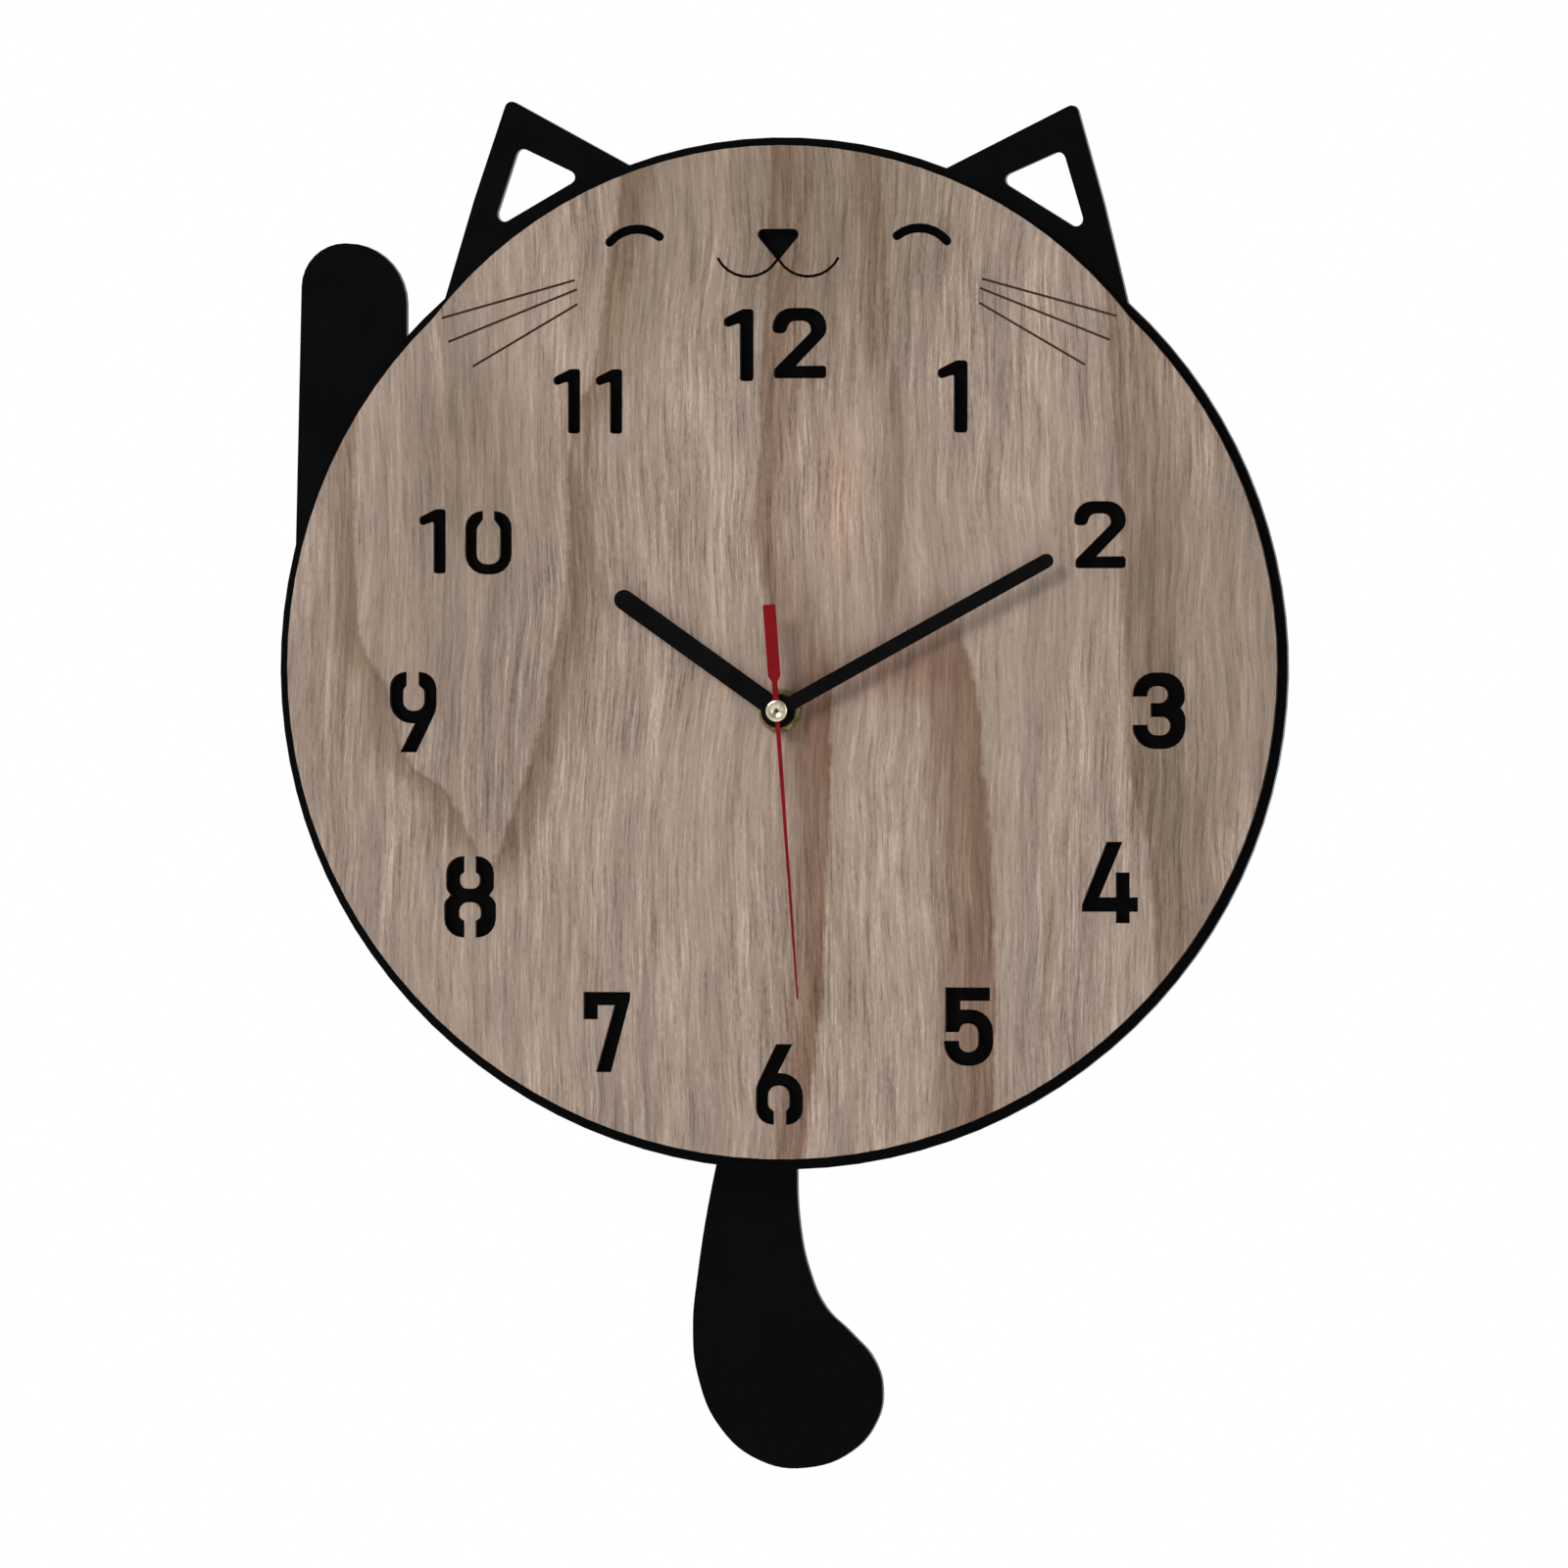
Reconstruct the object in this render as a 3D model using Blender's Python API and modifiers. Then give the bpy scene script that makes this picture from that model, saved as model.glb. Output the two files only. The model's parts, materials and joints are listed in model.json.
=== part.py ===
"""Cat tail clock: a wall clock with a cat's face, and a tail for its pendulum.

A wooden face disc lies on a black plate with ears and a raised paw. A battery
movement behind them turns three hands and swings the tail.

Sizes are in millimetres. X runs to the right, Y to the back and Z up. The
origin is the hand axis, at the wall: the back of the movement has Y = 0 and
everything else has a negative Y.
"""

import bpy
import bmesh
from math import acos, asin, atan2, ceil, cos, degrees, hypot, pi, radians, sin, tan
from mathutils import Vector

MM = 0.001

# Layers, each as (back, front) on the Y axis
COVER_Y = (0.0, -1.4)
CASE_Y = (-1.7, -17.0)
CASE_FLOOR = -15.8
GASKET_Y = (-17.2, -17.8)
PLATE_Y = (-18.0, -21.0)
FACE_Y = (-21.3, -24.3)
WASHER_Y = (-24.6, -24.9)
NUT_Y = (-25.1, -26.4)
HOUR_HAND_Y = (-26.9, -27.3)
MINUTE_HAND_Y = (-28.3, -28.7)
SECOND_HAND_Y = (-29.7, -30.1)
TAIL_Y = (-7.5, -10.5)

# Head outline: arcs as (centre x, centre z, radius) for the wooden face
CROWN = (0.0, 33.5, 130.7)
CHIN = (0.0, 16.9, 147.8)
CHEEK_CENTRE = (6.1, 12.5)
RIM = 2.7
WOOD_OFFSET = (-0.3, 0.35)
PLATE_OFFSET = (-0.3, 0.0)
CHORD_ERROR = 0.07

# Ears, as tip, inner end on the crown and height of the outer foot; they lean a
# little to the right. Their see-through windows are corners as (x, z, radius)
RIGHT_EAR = ((86.85, 176.6), 48.75, 118.4)
LEFT_EAR = ((-81.25, 178.65), -45.2, 120.4)
EAR_BULGE = 0.55
EAR_TIP_RADIUS = 2.0
EAR_BEND_RADIUS = 60.0
RIGHT_WINDOW = ((83.1, 162.9, 2.1), (63.9, 154.5, 1.9), (90.5, 138.0, 2.1))
LEFT_WINDOW = ((-86.0, 140.2, 2.1), (-59.0, 155.7, 1.9), (-77.9, 164.7, 2.1))

# Raised paw at the left of the black plate
PAW_LEFT = -144.5
PAW_RIGHT = -111.4
PAW_TOP = 136.6
PAW_NARROWING = 2.0
PAW_FILLETS = (17.9, 12.9)

# Face features cut through the wood, set off a little to the left
FACE_X = -0.7
EYE_CENTRE = (41.7, 129.6)
EYE_RADIUS = 10.7
EYE_STROKE = 2.7
EYE_ANGLES = (40.0, 128.0)
MOUTH_CENTRE = (8.9, 136.4)
MOUTH_RADIUS = 10.1
MOUTH_STROKE = 0.8
NOSE_HALF = 7.9
NOSE_TOP = 140.2
WHISKER_WIDTH = 0.7
WHISKER_DEPTH = 0.4

# Hands: length from the axis, width, hub radius, and angle past twelve
HUB_RADIUS = 5.0
HOUR_HAND = (59.0, 5.9, 305.2)
MINUTE_HAND = (92.5, 4.2, 61.2)
SECOND_ANGLE = 175.8
NEEDLE_LENGTH = 84.0
COUNTERWEIGHT = 31.0

# Coaxial tubes at the hand axis, as outer and inner radius
BUSH_RADII = (4.0, 2.85)
HOUR_TUBE_RADII = (2.6, 1.75)
CANNON_TUBE_RADII = (1.5, 0.75)
SECOND_ARBOR = 0.55
RUNNING_GAP = 0.12
FIT_GAP = 0.1

# Movement case
CASE_HALF = 28.0
CASE_WALL = 1.3
BOX_HALF = 22.0
BOX_BOTTOM = -66.0
SHOULDER_SLOPE = 1.5

# Gear train: the place of each axis, the teeth of each pair, and the layers
THIRD_AT = (8.5 * cos(radians(160)), 8.5 * sin(radians(160)))
MINUTE_AT = (9.0 * cos(radians(20)), 9.0 * sin(radians(20)))
IDLER_AT = (7.0 * cos(radians(75)), 7.0 * sin(radians(75)))
ROTOR_AT = (IDLER_AT[0] - 0.92, IDLER_AT[1] + 5.2)
HANDS_AT = (0.0, 0.0)
ROTOR_TEETH, IDLER_TEETH = 8, 40
IDLER_PINION, SECOND_TEETH = 8, 48
SECOND_PINION, THIRD_TEETH = 8, 60
THIRD_PINION, CENTRE_TEETH = 8, 64
CANNON_PINION, MINUTE_TEETH = 12, 36
MINUTE_PINION, HOUR_TEETH = 10, 40
ROTOR_PINION_Y = (-5.5, -6.5)
IDLER_WHEEL_Y = (-5.7, -6.3)
IDLER_PINION_Y = (-6.1, -8.0)
SECOND_WHEEL_Y = (-7.1, -7.8)
SECOND_PINION_Y = (-7.5, -9.2)
THIRD_WHEEL_Y = (-8.4, -9.0)
THIRD_PINION_Y = (-8.8, -12.3)
MIDDLE_PLATE_Y = (-9.5, -10.5)
CENTRE_WHEEL_Y = (-11.2, -12.0)
CANNON_PINION_Y = (-12.4, -13.8)
MINUTE_WHEEL_Y = (-12.7, -13.4)
MINUTE_PINION_Y = (-13.2, -15.5)
HOUR_WHEEL_Y = (-14.3, -15.3)
ROTOR_SHAFT = 0.75
PIVOT = 0.4
PIVOT_BACK = -2.0
BOSS_FRONT = -3.4
KNOB_RADIUS = 5.0
KNOB_ARBOR = 0.9

# Battery, size AA, lying across the case
BATTERY_Z = -19.6
BATTERY_Y = -8.3
BATTERY_RADIUS = 7.25
BATTERY_ENDS = (-24.5, 24.5)
BATTERY_NUB = (2.75, 1.2)
OPENING_HALF = BATTERY_RADIUS + 0.25
CONTACT_Y = (-6.4, -10.2)
CONTACT_THICKNESS = 0.3

# Tail drive, its pin, and the lever's slot in the bottom of the case
SWING_Z = -33.0
HOOK_Z = -72.0
DRIVE_Z = -56.0
LEVER_Y = (-5.4, -7.0)
LEVER_SLOT = 8.5
PIN_RADIUS = 0.9
PIN_SEAT = 1.0
SEAT_BOSS = 2.2

# Motor coil, stator and circuit board
COIL_Z = 21.0
COIL_Y = -7.8
CORE_Y = (-7.5, -8.1)
STATOR_Y = (-8.4, -9.0)
ARM_X = 14.5
BOARD_Y = (-4.2, -5.0)
SOLDER_GAP = 0.2

# Hanging tab: its foot is pegged under the cover, and above the case it steps
# back to lie flush with the cover
HANGER_HALF = 8.0
HANGER_FOOT = 21.6
HANGER_STEP = (28.9, 30.7)
HANGER_TOP = 46.5
HANGER_Y = (-1.8, -2.8)
HANGER_FLUSH = -0.5
PEG_X = 5.0
PEG_Z = 24.2
KEYHOLE_Z = 35.4
KEYHOLE_RISE = 6.2
KEYHOLE_RADII = (4.0, 1.5)


# ---------------------------------------------------------------- outlines

def arc_steps(radius, turn):
    """Number of chords that stay close to an arc turning by some degrees."""
    widest = 2 * degrees(acos(1 - min(0.3, CHORD_ERROR / radius)))
    return max(1, ceil(abs(turn) / widest - 0.2))


def arc(centre, radius, start, end):
    """Points along an arc; the angles are in degrees, anticlockwise from +X."""
    steps = arc_steps(radius, end - start)
    points = []
    for i in range(steps + 1):
        angle = radians(start + (end - start) * i / steps)
        points.append((centre[0] + radius * cos(angle), centre[1] + radius * sin(angle)))
    return points


def circle(centre, radius, sides=None):
    """A closed round outline, with enough sides to look round by default."""
    sides = sides or max(10, 2 * arc_steps(radius, 180))
    points = []
    for i in range(sides):
        angle = 2 * pi * i / sides
        points.append((centre[0] + radius * cos(angle), centre[1] + radius * sin(angle)))
    return points


def sharp(points):
    """Corners without a fillet, for rounded()."""
    return [(x, z, 0.0) for x, z in points]


def rounded(corners):
    """Closed outline through (x, z, fillet radius) corners."""
    points = []
    for i, (x, z, radius) in enumerate(corners):
        corner = Vector((x, z))
        if radius == 0.0:
            points.append((x, z))
            continue
        before = (Vector(corners[i - 1][:2]) - corner).normalized()
        after = (Vector(corners[(i + 1) % len(corners)][:2]) - corner).normalized()
        half = before.angle(after) / 2
        centre = corner + (before + after).normalized() * (radius / sin(half))
        start = corner + before * (radius / tan(half)) - centre
        turn = pi - 2 * half
        if after.x * before.y - after.y * before.x < 0:
            turn = -turn
        steps = arc_steps(radius, degrees(turn))
        first = atan2(start.y, start.x)
        for k in range(steps + 1):
            angle = first + turn * k / steps
            points.append((centre.x + radius * cos(angle), centre.y + radius * sin(angle)))
    return points


def box(left, right, bottom, top, radius=0.0):
    """A rectangle, with rounded corners where a radius is given."""
    return rounded([(right, bottom, radius), (right, top, radius),
                    (left, top, radius), (left, bottom, radius)])


def placed(points, at=(0.0, 0.0), scale=1.0):
    """The outline scaled about its own origin, and then moved."""
    return [(at[0] + scale * x, at[1] + scale * z) for x, z in points]


def mirrored(points):
    """The outline's mirror image across X = 0, in the opposite order."""
    return [(-x, z) for x, z in reversed(points)]


def turned_over(points, width, height):
    """The outline turned half a turn inside its own box."""
    return [(width - x, height - z) for x, z in points]


def bar(start, end, width):
    """A straight stroke with round ends."""
    angle = degrees(atan2(end[1] - start[1], end[0] - start[0]))
    tip = arc(end, width / 2, angle - 90, angle + 90)
    tail = arc(start, width / 2, angle + 90, angle + 270)
    return tip + tail


# ------------------------------------------------------------------ solids

def collection(name):
    """The named collection, made when it is first asked for."""
    found = bpy.data.collections.get(name)
    if found is None:
        found = bpy.data.collections.new(name)
        bpy.context.scene.collection.children.link(found)
    return found


def own_mesh(source):
    """A welded mesh object in place of an object as it is evaluated."""
    depsgraph = bpy.context.evaluated_depsgraph_get()
    mesh = bpy.data.meshes.new_from_object(source.evaluated_get(depsgraph))
    work = bmesh.new()
    work.from_mesh(mesh)
    bmesh.ops.remove_doubles(work, verts=work.verts, dist=0.002 * MM)
    bmesh.ops.recalc_face_normals(work, faces=work.faces)
    work.to_mesh(mesh)
    work.free()
    name = source.name
    piece = bpy.data.objects.new(name, mesh)
    piece.matrix_world = source.matrix_world.copy()
    bpy.data.objects.remove(source)
    piece.name = name
    mesh.name = name
    collection("Cat tail clock").objects.link(piece)
    return piece


def plate(name, outlines, layer, at=(0.0, 0.0), spin=0.0, smooth=()):
    """Flat piece between two Y values, cut from closed outlines in X and Z.

    An outline inside another is a hole. The smooth outlines are drawn as
    Bezier curves through their points. spin turns the piece clockwise.
    """
    back, front = layer
    curve = bpy.data.curves.new(name, "CURVE")
    curve.dimensions = "2D"
    curve.fill_mode = "BOTH"
    curve.extrude = abs(back - front) / 2 * MM
    for outline in outlines:
        spline = curve.splines.new("POLY")
        spline.points.add(len(outline) - 1)
        for point, (x, z) in zip(spline.points, outline):
            point.co = (x * MM, z * MM, 0.0, 1.0)
        spline.use_cyclic_u = True
    for outline in smooth:
        spline = curve.splines.new("BEZIER")
        spline.bezier_points.add(len(outline) - 1)
        for point, (x, z) in zip(spline.bezier_points, outline):
            point.co = (x * MM, z * MM, 0.0)
            point.handle_left_type = "AUTO"
            point.handle_right_type = "AUTO"
        spline.resolution_u = 6
        spline.use_cyclic_u = True
    piece = bpy.data.objects.new(name, curve)
    collection("Cat tail clock").objects.link(piece)
    piece.location = (at[0] * MM, (back + front) / 2 * MM, at[1] * MM)
    piece.rotation_euler = (pi / 2, radians(spin), 0.0)
    bpy.context.view_layer.update()
    return own_mesh(piece)


def turned(name, profile, at=(0.0, 0.0), sides=24, axis="Y", depth=0.0):
    """Turned piece from a closed (radius, distance to the front) profile.

    The axis is Y, or X for a piece that lies across the case at a depth.
    """
    mesh = bpy.data.meshes.new(name)
    count = len(profile)
    closed = profile[0][0] > 0 or profile[-1][0] > 0
    edges = [(i, (i + 1) % count) for i in range(count if closed else count - 1)]
    mesh.from_pydata([(r * MM, 0.0, h * MM) for r, h in profile], edges, [])
    piece = bpy.data.objects.new(name, mesh)
    collection("Cat tail clock").objects.link(piece)
    screw = piece.modifiers.new("Turn", "SCREW")
    screw.steps = sides
    screw.render_steps = sides
    screw.use_merge_vertices = True
    screw.merge_threshold = 0.01 * MM
    piece.location = (at[0] * MM, depth * MM, at[1] * MM)
    piece.rotation_euler = (pi / 2, 0.0, 0.0) if axis == "Y" else (0.0, pi / 2, 0.0)
    bpy.context.view_layer.update()
    return own_mesh(piece)


def tube(name, outer, inner, layer, at=(0.0, 0.0)):
    """Straight tube along Y."""
    return plate(name, [circle((0, 0), outer), circle((0, 0), inner)], layer, at)


def primitive(name, work, middle, at, layer):
    """Object from a primitive's bmesh, drawn about a point beside its origin.

    at is the origin in X and Z, middle is the primitive's centre from there.
    """
    offset = Vector((middle[0], middle[1], 0.0)) * MM
    bmesh.ops.translate(work, vec=offset, verts=work.verts)
    mesh = bpy.data.meshes.new(name)
    work.to_mesh(mesh)
    work.free()
    piece = bpy.data.objects.new(name, mesh)
    collection("Cat tail clock").objects.link(piece)
    piece.location = (at[0] * MM, sum(layer) / 2 * MM, at[1] * MM)
    piece.rotation_euler = (pi / 2, 0.0, 0.0)
    bpy.context.view_layer.update()
    return piece


def rod(name, radius, layer, at=(0.0, 0.0), middle=(0.0, 0.0)):
    """Straight round bar along Y."""
    work = bmesh.new()
    sides = len(circle((0, 0), radius))
    bmesh.ops.create_cone(work, cap_ends=True, segments=sides, radius1=radius * MM,
                          radius2=radius * MM, depth=(layer[0] - layer[1]) * MM)
    return primitive(name, work, middle, at, layer)


def block(name, width, height, layer, at=(0.0, 0.0), middle=(0.0, 0.0)):
    """Rectangular bar, given by its size in X and Z."""
    work = bmesh.new()
    bmesh.ops.create_cube(work, size=1.0)
    size = Vector((width, height, layer[0] - layer[1])) * MM
    bmesh.ops.scale(work, vec=size, verts=work.verts)
    return primitive(name, work, middle, at, layer)


def combine(piece, tool, operation):
    """Boolean modifier on a piece; its tool moves to the cutters."""
    change = piece.modifiers.new(tool.name, "BOOLEAN")
    change.operation = operation
    change.solver = "EXACT"
    change.object = tool
    collection("Cat tail clock").objects.unlink(tool)
    collection("Cutters").objects.link(tool)
    tool.hide_render = True
    tool.display_type = "WIRE"


def cut(piece, *tools):
    """Takes each tool's shape away from a piece."""
    for tool in tools:
        combine(piece, tool, "DIFFERENCE")


def join(piece, *tools):
    """Adds each tool's shape to a piece."""
    for tool in tools:
        combine(piece, tool, "UNION")


def material(name, colour, roughness, metallic=0.0):
    """The named Principled material, made when it is first asked for."""
    found = bpy.data.materials.get(name)
    if found is None:
        found = bpy.data.materials.new(name)
        found.use_nodes = True
        shader = found.node_tree.nodes["Principled BSDF"]
        shader.inputs["Base Color"].default_value = (*colour, 1.0)
        shader.inputs["Roughness"].default_value = roughness
        shader.inputs["Metallic"].default_value = metallic
    return found


def finish(piece, made_of):
    """Gives a piece its material, and smooth shading on its round sides."""
    piece.data.materials.clear()
    piece.data.materials.append(made_of)
    piece.data.shade_smooth()
    piece.data.set_sharp_from_angle(angle=radians(35))
    return piece


# --------------------------------------------------------------- materials

def wood():
    return material("oak_veneer", (0.32, 0.23, 0.17), 0.62)


def black_acrylic():
    return material("black_acrylic", (0.008, 0.008, 0.009), 0.28)


def black_paint():
    return material("black_hand_paint", (0.006, 0.006, 0.007), 0.35)


def red_paint():
    return material("red_hand_paint", (0.26, 0.01, 0.015), 0.3)


def brass():
    return material("brass", (0.72, 0.52, 0.22), 0.3, 1.0)


def steel():
    return material("steel", (0.55, 0.56, 0.58), 0.32, 1.0)


def black_plastic():
    return material("moulded_plastic", (0.015, 0.015, 0.017), 0.5)


def white_plastic():
    return material("acetal", (0.82, 0.82, 0.78), 0.45)


def rubber():
    return material("rubber", (0.02, 0.02, 0.02), 0.85)


def copper():
    return material("copper_wire", (0.62, 0.24, 0.1), 0.3, 1.0)


def board_laminate():
    return material("board_laminate", (0.03, 0.16, 0.07), 0.5)


def magnet():
    return material("magnet", (0.11, 0.11, 0.12), 0.45, 0.8)


def battery_jacket():
    return material("battery_jacket", (0.04, 0.1, 0.22), 0.35, 0.3)


# ---------------------------------------------------------------- numerals

# Each numeral is one stencil stroke shape: (x, z, fillet radius) corners from
# its lower left, with the gaps that hold the middles of 0, 6, 8 and 9.
ONE = ((9.0, 0, 0.9), (9.0, 21, 0.9), (5.6, 21, 1.4), (0, 18.2, 1.2), (0.3, 15.4, 1.2),
       (4.9, 16.9, 0.4), (4.9, 0, 0.9))
TWO = ((16.0, 0, 0.9), (16.0, 3.7, 0.9), (7.0, 3.6, 0), (16.1, 13.0, 3.5), (16.1, 20.5, 5.6),
       (0, 20.5, 5.6), (0, 13.1, 1.4), (3.9, 13.1, 1.4), (5.2, 16.7, 2.2), (11.3, 16.7, 2.2),
       (11.3, 13.4, 1.6), (0.4, 2.6, 1.0), (0.4, 0, 0.8))
THREE = ((4.4, 15.2, 0), (4.4, 18.2, 2.5), (10.3, 18.2, 2.4), (10.3, 13.3, 2.3),
         (5.3, 13.3, 0), (5.3, 9.3, 0), (11.0, 9.3, 2.4), (11.0, 4.0, 2.5),
         (4.5, 4.0, 2.5), (4.5, 7.0, 0), (0, 7.0, 0), (0, 0, 6.5), (15.6, 0, 6.5),
         (15.6, 9.8, 2.4), (14.2, 12.0, 0), (15.4, 13.8, 1.6), (15.4, 22.2, 6.3),
         (0, 22.2, 6.5), (0, 15.2, 0))
FOUR = ((7.3, 23.6, 0), (12.0, 23.6, 0), (5.2, 7.5, 0), (10.0, 7.5, 0), (10.0, 14.7, 0),
        (14.1, 14.7, 0), (14.1, 7.5, 0), (16.5, 7.5, 0), (16.5, 3.3, 0), (14.1, 3.3, 0),
        (14.1, 0, 0), (10.0, 0, 0), (10.0, 3.3, 0), (0, 3.3, 0), (0, 5.2, 0.8))
FIVE = ((0.4, 22.8, 0), (13.6, 22.8, 0), (13.6, 18.9, 0), (4.9, 18.9, 0), (4.9, 16.4, 0),
        (14.6, 16.4, 6.6), (14.6, 0, 6.8), (0, 0, 6.6), (0, 7.3, 0), (4.5, 7.3, 0),
        (4.6, 4.0, 2.5), (10.1, 4.0, 2.7), (10.1, 12.3, 2.7), (5.4, 12.3, 1.6),
        (4.4, 9.8, 0), (0.4, 9.8, 0))
SEVEN = ((0, 23.4, 0), (13.9, 23.4, 0), (13.9, 21.4, 0.5), (8.2, 0, 0), (3.7, 0, 0),
         (9.2, 19.5, 0), (4.3, 19.5, 0), (4.3, 15.4, 0), (0, 15.4, 0))
EIGHT = ((6.1, 23.6, 0), (0.6, 23.4, 5.0), (0.6, 14.0, 2.2), (1.9, 12.2, 0), (0, 10.2, 2.2),
         (0, 0, 5.6), (6.1, -0.2, 0), (6.1, 4.7, 0), (4.6, 5.6, 1.2), (4.6, 10.1, 2.6),
         (10.9, 10.1, 2.6), (10.9, 5.6, 1.2), (9.4, 4.7, 0), (9.4, -0.2, 0), (15.5, 0, 5.6),
         (15.5, 10.2, 2.2), (13.6, 12.2, 0), (14.9, 14.0, 2.2), (14.9, 23.4, 5.0),
         (9.4, 23.6, 0), (9.4, 18.9, 0), (10.6, 18.0, 1.0), (10.6, 14.1, 2.0),
         (4.9, 14.1, 2.0), (4.9, 18.0, 1.0), (6.1, 18.9, 0))
NINE = ((5.1, 23.5, 0), (0, 23.2, 4.7), (0, 8.4, 6.6), (7.4, 8.4, 0), (3.1, 0, 0),
        (8.0, 0, 0), (14.0, 12.4, 7.0), (14.0, 23.2, 5.0), (8.6, 23.5, 0), (8.6, 19.6, 0),
        (10.3, 18.2, 1.4), (10.3, 12.1, 2.8), (4.1, 12.1, 2.8), (4.1, 18.2, 0.8),
        (5.1, 19.6, 0))
ZERO = ((8.6, 18.5, 0), (8.6, 16.0, 0), (10.4, 13.6, 1.4), (10.4, 3.0, 2.9), (3.5, 3.0, 2.9),
        (3.5, 13.6, 1.4), (5.3, 16.0, 0), (5.3, 18.5, 0), (0, 18.3, 4.9), (0, 0, 6.0),
        (13.9, 0, 6.0), (13.9, 18.3, 4.9))

ONE_HEIGHT = 21.0
NINE_SIZE = (14.0, 23.2)


def numerals():
    """The twelve cut-through numerals, placed around the face."""
    one = rounded(ONE)
    two = rounded(TWO)
    nine = rounded(NINE)
    small_one = 18.8 / ONE_HEIGHT
    return [
        placed(one, (-16.9, 95.9)),
        placed(two, (-2.4, 96.7)),
        placed(one, (46.3, 80.8)),
        placed(two, (86.6, 41.4), 0.95),
        placed(rounded(THREE), (103.8, -11.0)),
        placed(rounded(FOUR), (88.9, -61.5)),
        placed(rounded(FIVE), (48.3, -103.1)),
        placed(turned_over(nine, *NINE_SIZE), (-7.3, -120.2)),
        placed(rounded(SEVEN), (-58.4, -105.4)),
        placed(rounded(EIGHT), (-99.9, -66.1)),
        placed(nine, (-116.1, -12.2)),
        placed(one, (-107.4, 40.0), small_one),
        placed(rounded(ZERO), (-93.6, 39.7)),
        placed(one, (-67.4, 80.8), small_one),
        placed(one, (-54.9, 80.7), small_one),
    ]


# -------------------------------------------------------------- face, plate

def crossing(first, second):
    """The upper right point that two circles share."""
    dx = second[0] - first[0]
    dz = second[1] - first[1]
    apart = hypot(dx, dz)
    along = (first[2] ** 2 - second[2] ** 2 + apart ** 2) / (2 * apart)
    aside = (first[2] ** 2 - along ** 2) ** 0.5
    options = []
    for sign in (-1, 1):
        x = first[0] + (along * dx - sign * aside * dz) / apart
        z = first[1] + (along * dz + sign * aside * dx) / apart
        options.append((x, z))
    return max(options)


def angle_at(centre, point):
    """Direction in degrees from a centre to a point."""
    return degrees(atan2(point[1] - centre[1], point[0] - centre[0]))


def cheek_radius():
    """The cheek's radius, which lets it leave the chin's arc smoothly."""
    return CHIN[2] - hypot(CHEEK_CENTRE[0] - CHIN[0], CHEEK_CENTRE[1] - CHIN[1])


def head_arcs(grow):
    """Right cheek, crown and chin of the head, drawn larger by grow.

    The cheek's arc starts where it leaves the chin's arc smoothly, and ends
    in the corner where it meets the crown.
    """
    smooth_join = angle_at(CHIN, CHEEK_CENTRE)
    side_radius = cheek_radius() + grow
    crown_radius = CROWN[2] + grow
    corner = crossing((*CROWN[:2], crown_radius), (*CHEEK_CENTRE, side_radius))
    cheek = arc(CHEEK_CENTRE, side_radius, smooth_join, angle_at(CHEEK_CENTRE, corner))
    crown_end = angle_at(CROWN, corner)
    crown = arc(CROWN, crown_radius, crown_end, 180 - crown_end)
    chin = arc(CHIN, CHIN[2] + grow, 180 - smooth_join, 360 + smooth_join)
    return cheek, crown, chin


def wood_outline():
    cheek, crown, chin = head_arcs(0.0)
    head = cheek + crown[1:-1] + mirrored(cheek) + chin[1:-1]
    return placed(head, WOOD_OFFSET)


def rim_cheek(foot_z):
    """Edge of the plate's right cheek, from the chin up to an ear's foot."""
    radius = cheek_radius() + RIM
    foot_x = CHEEK_CENTRE[0] + (radius ** 2 - (foot_z - CHEEK_CENTRE[1]) ** 2) ** 0.5
    foot_angle = angle_at(CHEEK_CENTRE, (foot_x, foot_z))
    return arc(CHEEK_CENTRE, radius, angle_at(CHIN, CHEEK_CENTRE), foot_angle)


def ear_corners(foot, ear):
    """An ear from its foot on: the outer side bulges a little, and the tip is round."""
    tip, base_x, _ = ear
    bulge = EAR_BULGE if tip[0] > 0 else -EAR_BULGE
    middle = ((foot[0] + tip[0]) / 2 + bulge, (foot[1] + tip[1]) / 2)
    base_z = CROWN[1] + ((CROWN[2] + RIM) ** 2 - base_x ** 2) ** 0.5
    return [(*middle, EAR_BEND_RADIUS), (*tip, EAR_TIP_RADIUS), (base_x, base_z, 0.0)]


def plate_outline():
    """The black plate's edge, with both ears and the raised left paw."""
    cheek = rim_cheek(RIGHT_EAR[2])
    left_cheek = mirrored(rim_cheek(LEFT_EAR[2]))
    chin = head_arcs(RIM)[2]
    ear = ear_corners(cheek[-1], RIGHT_EAR)
    left_ear = ear_corners(left_cheek[0], LEFT_EAR)[::-1]
    crown = arc(CROWN, CROWN[2] + RIM, angle_at(CROWN, ear[-1]), angle_at(CROWN, left_ear[0]))
    radius = cheek_radius() + RIM
    heights = []
    for x in (PAW_RIGHT, PAW_LEFT):
        heights.append(CHEEK_CENTRE[1] + (radius ** 2 - (x + CHEEK_CENTRE[0]) ** 2) ** 0.5)
    paw = [(PAW_RIGHT, heights[0], 0.0), (PAW_RIGHT, PAW_TOP, PAW_FILLETS[0]),
           (PAW_LEFT + PAW_NARROWING, PAW_TOP, PAW_FILLETS[1]), (PAW_LEFT, heights[1], 0.0)]
    above = [point for point in left_cheek if point[1] > heights[0] + 1]
    below = [point for point in left_cheek if point[1] < heights[1] - 1]
    corners = sharp(cheek) + ear[:2] + sharp(crown) + left_ear[1:]
    edge = rounded(corners + sharp(above) + paw + sharp(below) + sharp(chin[1:-1]))
    return placed(edge, PLATE_OFFSET)


def ear_windows():
    """See-through triangles, one in each ear."""
    return [placed(rounded(corners), PLATE_OFFSET) for corners in (RIGHT_WINDOW, LEFT_WINDOW)]


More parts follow.
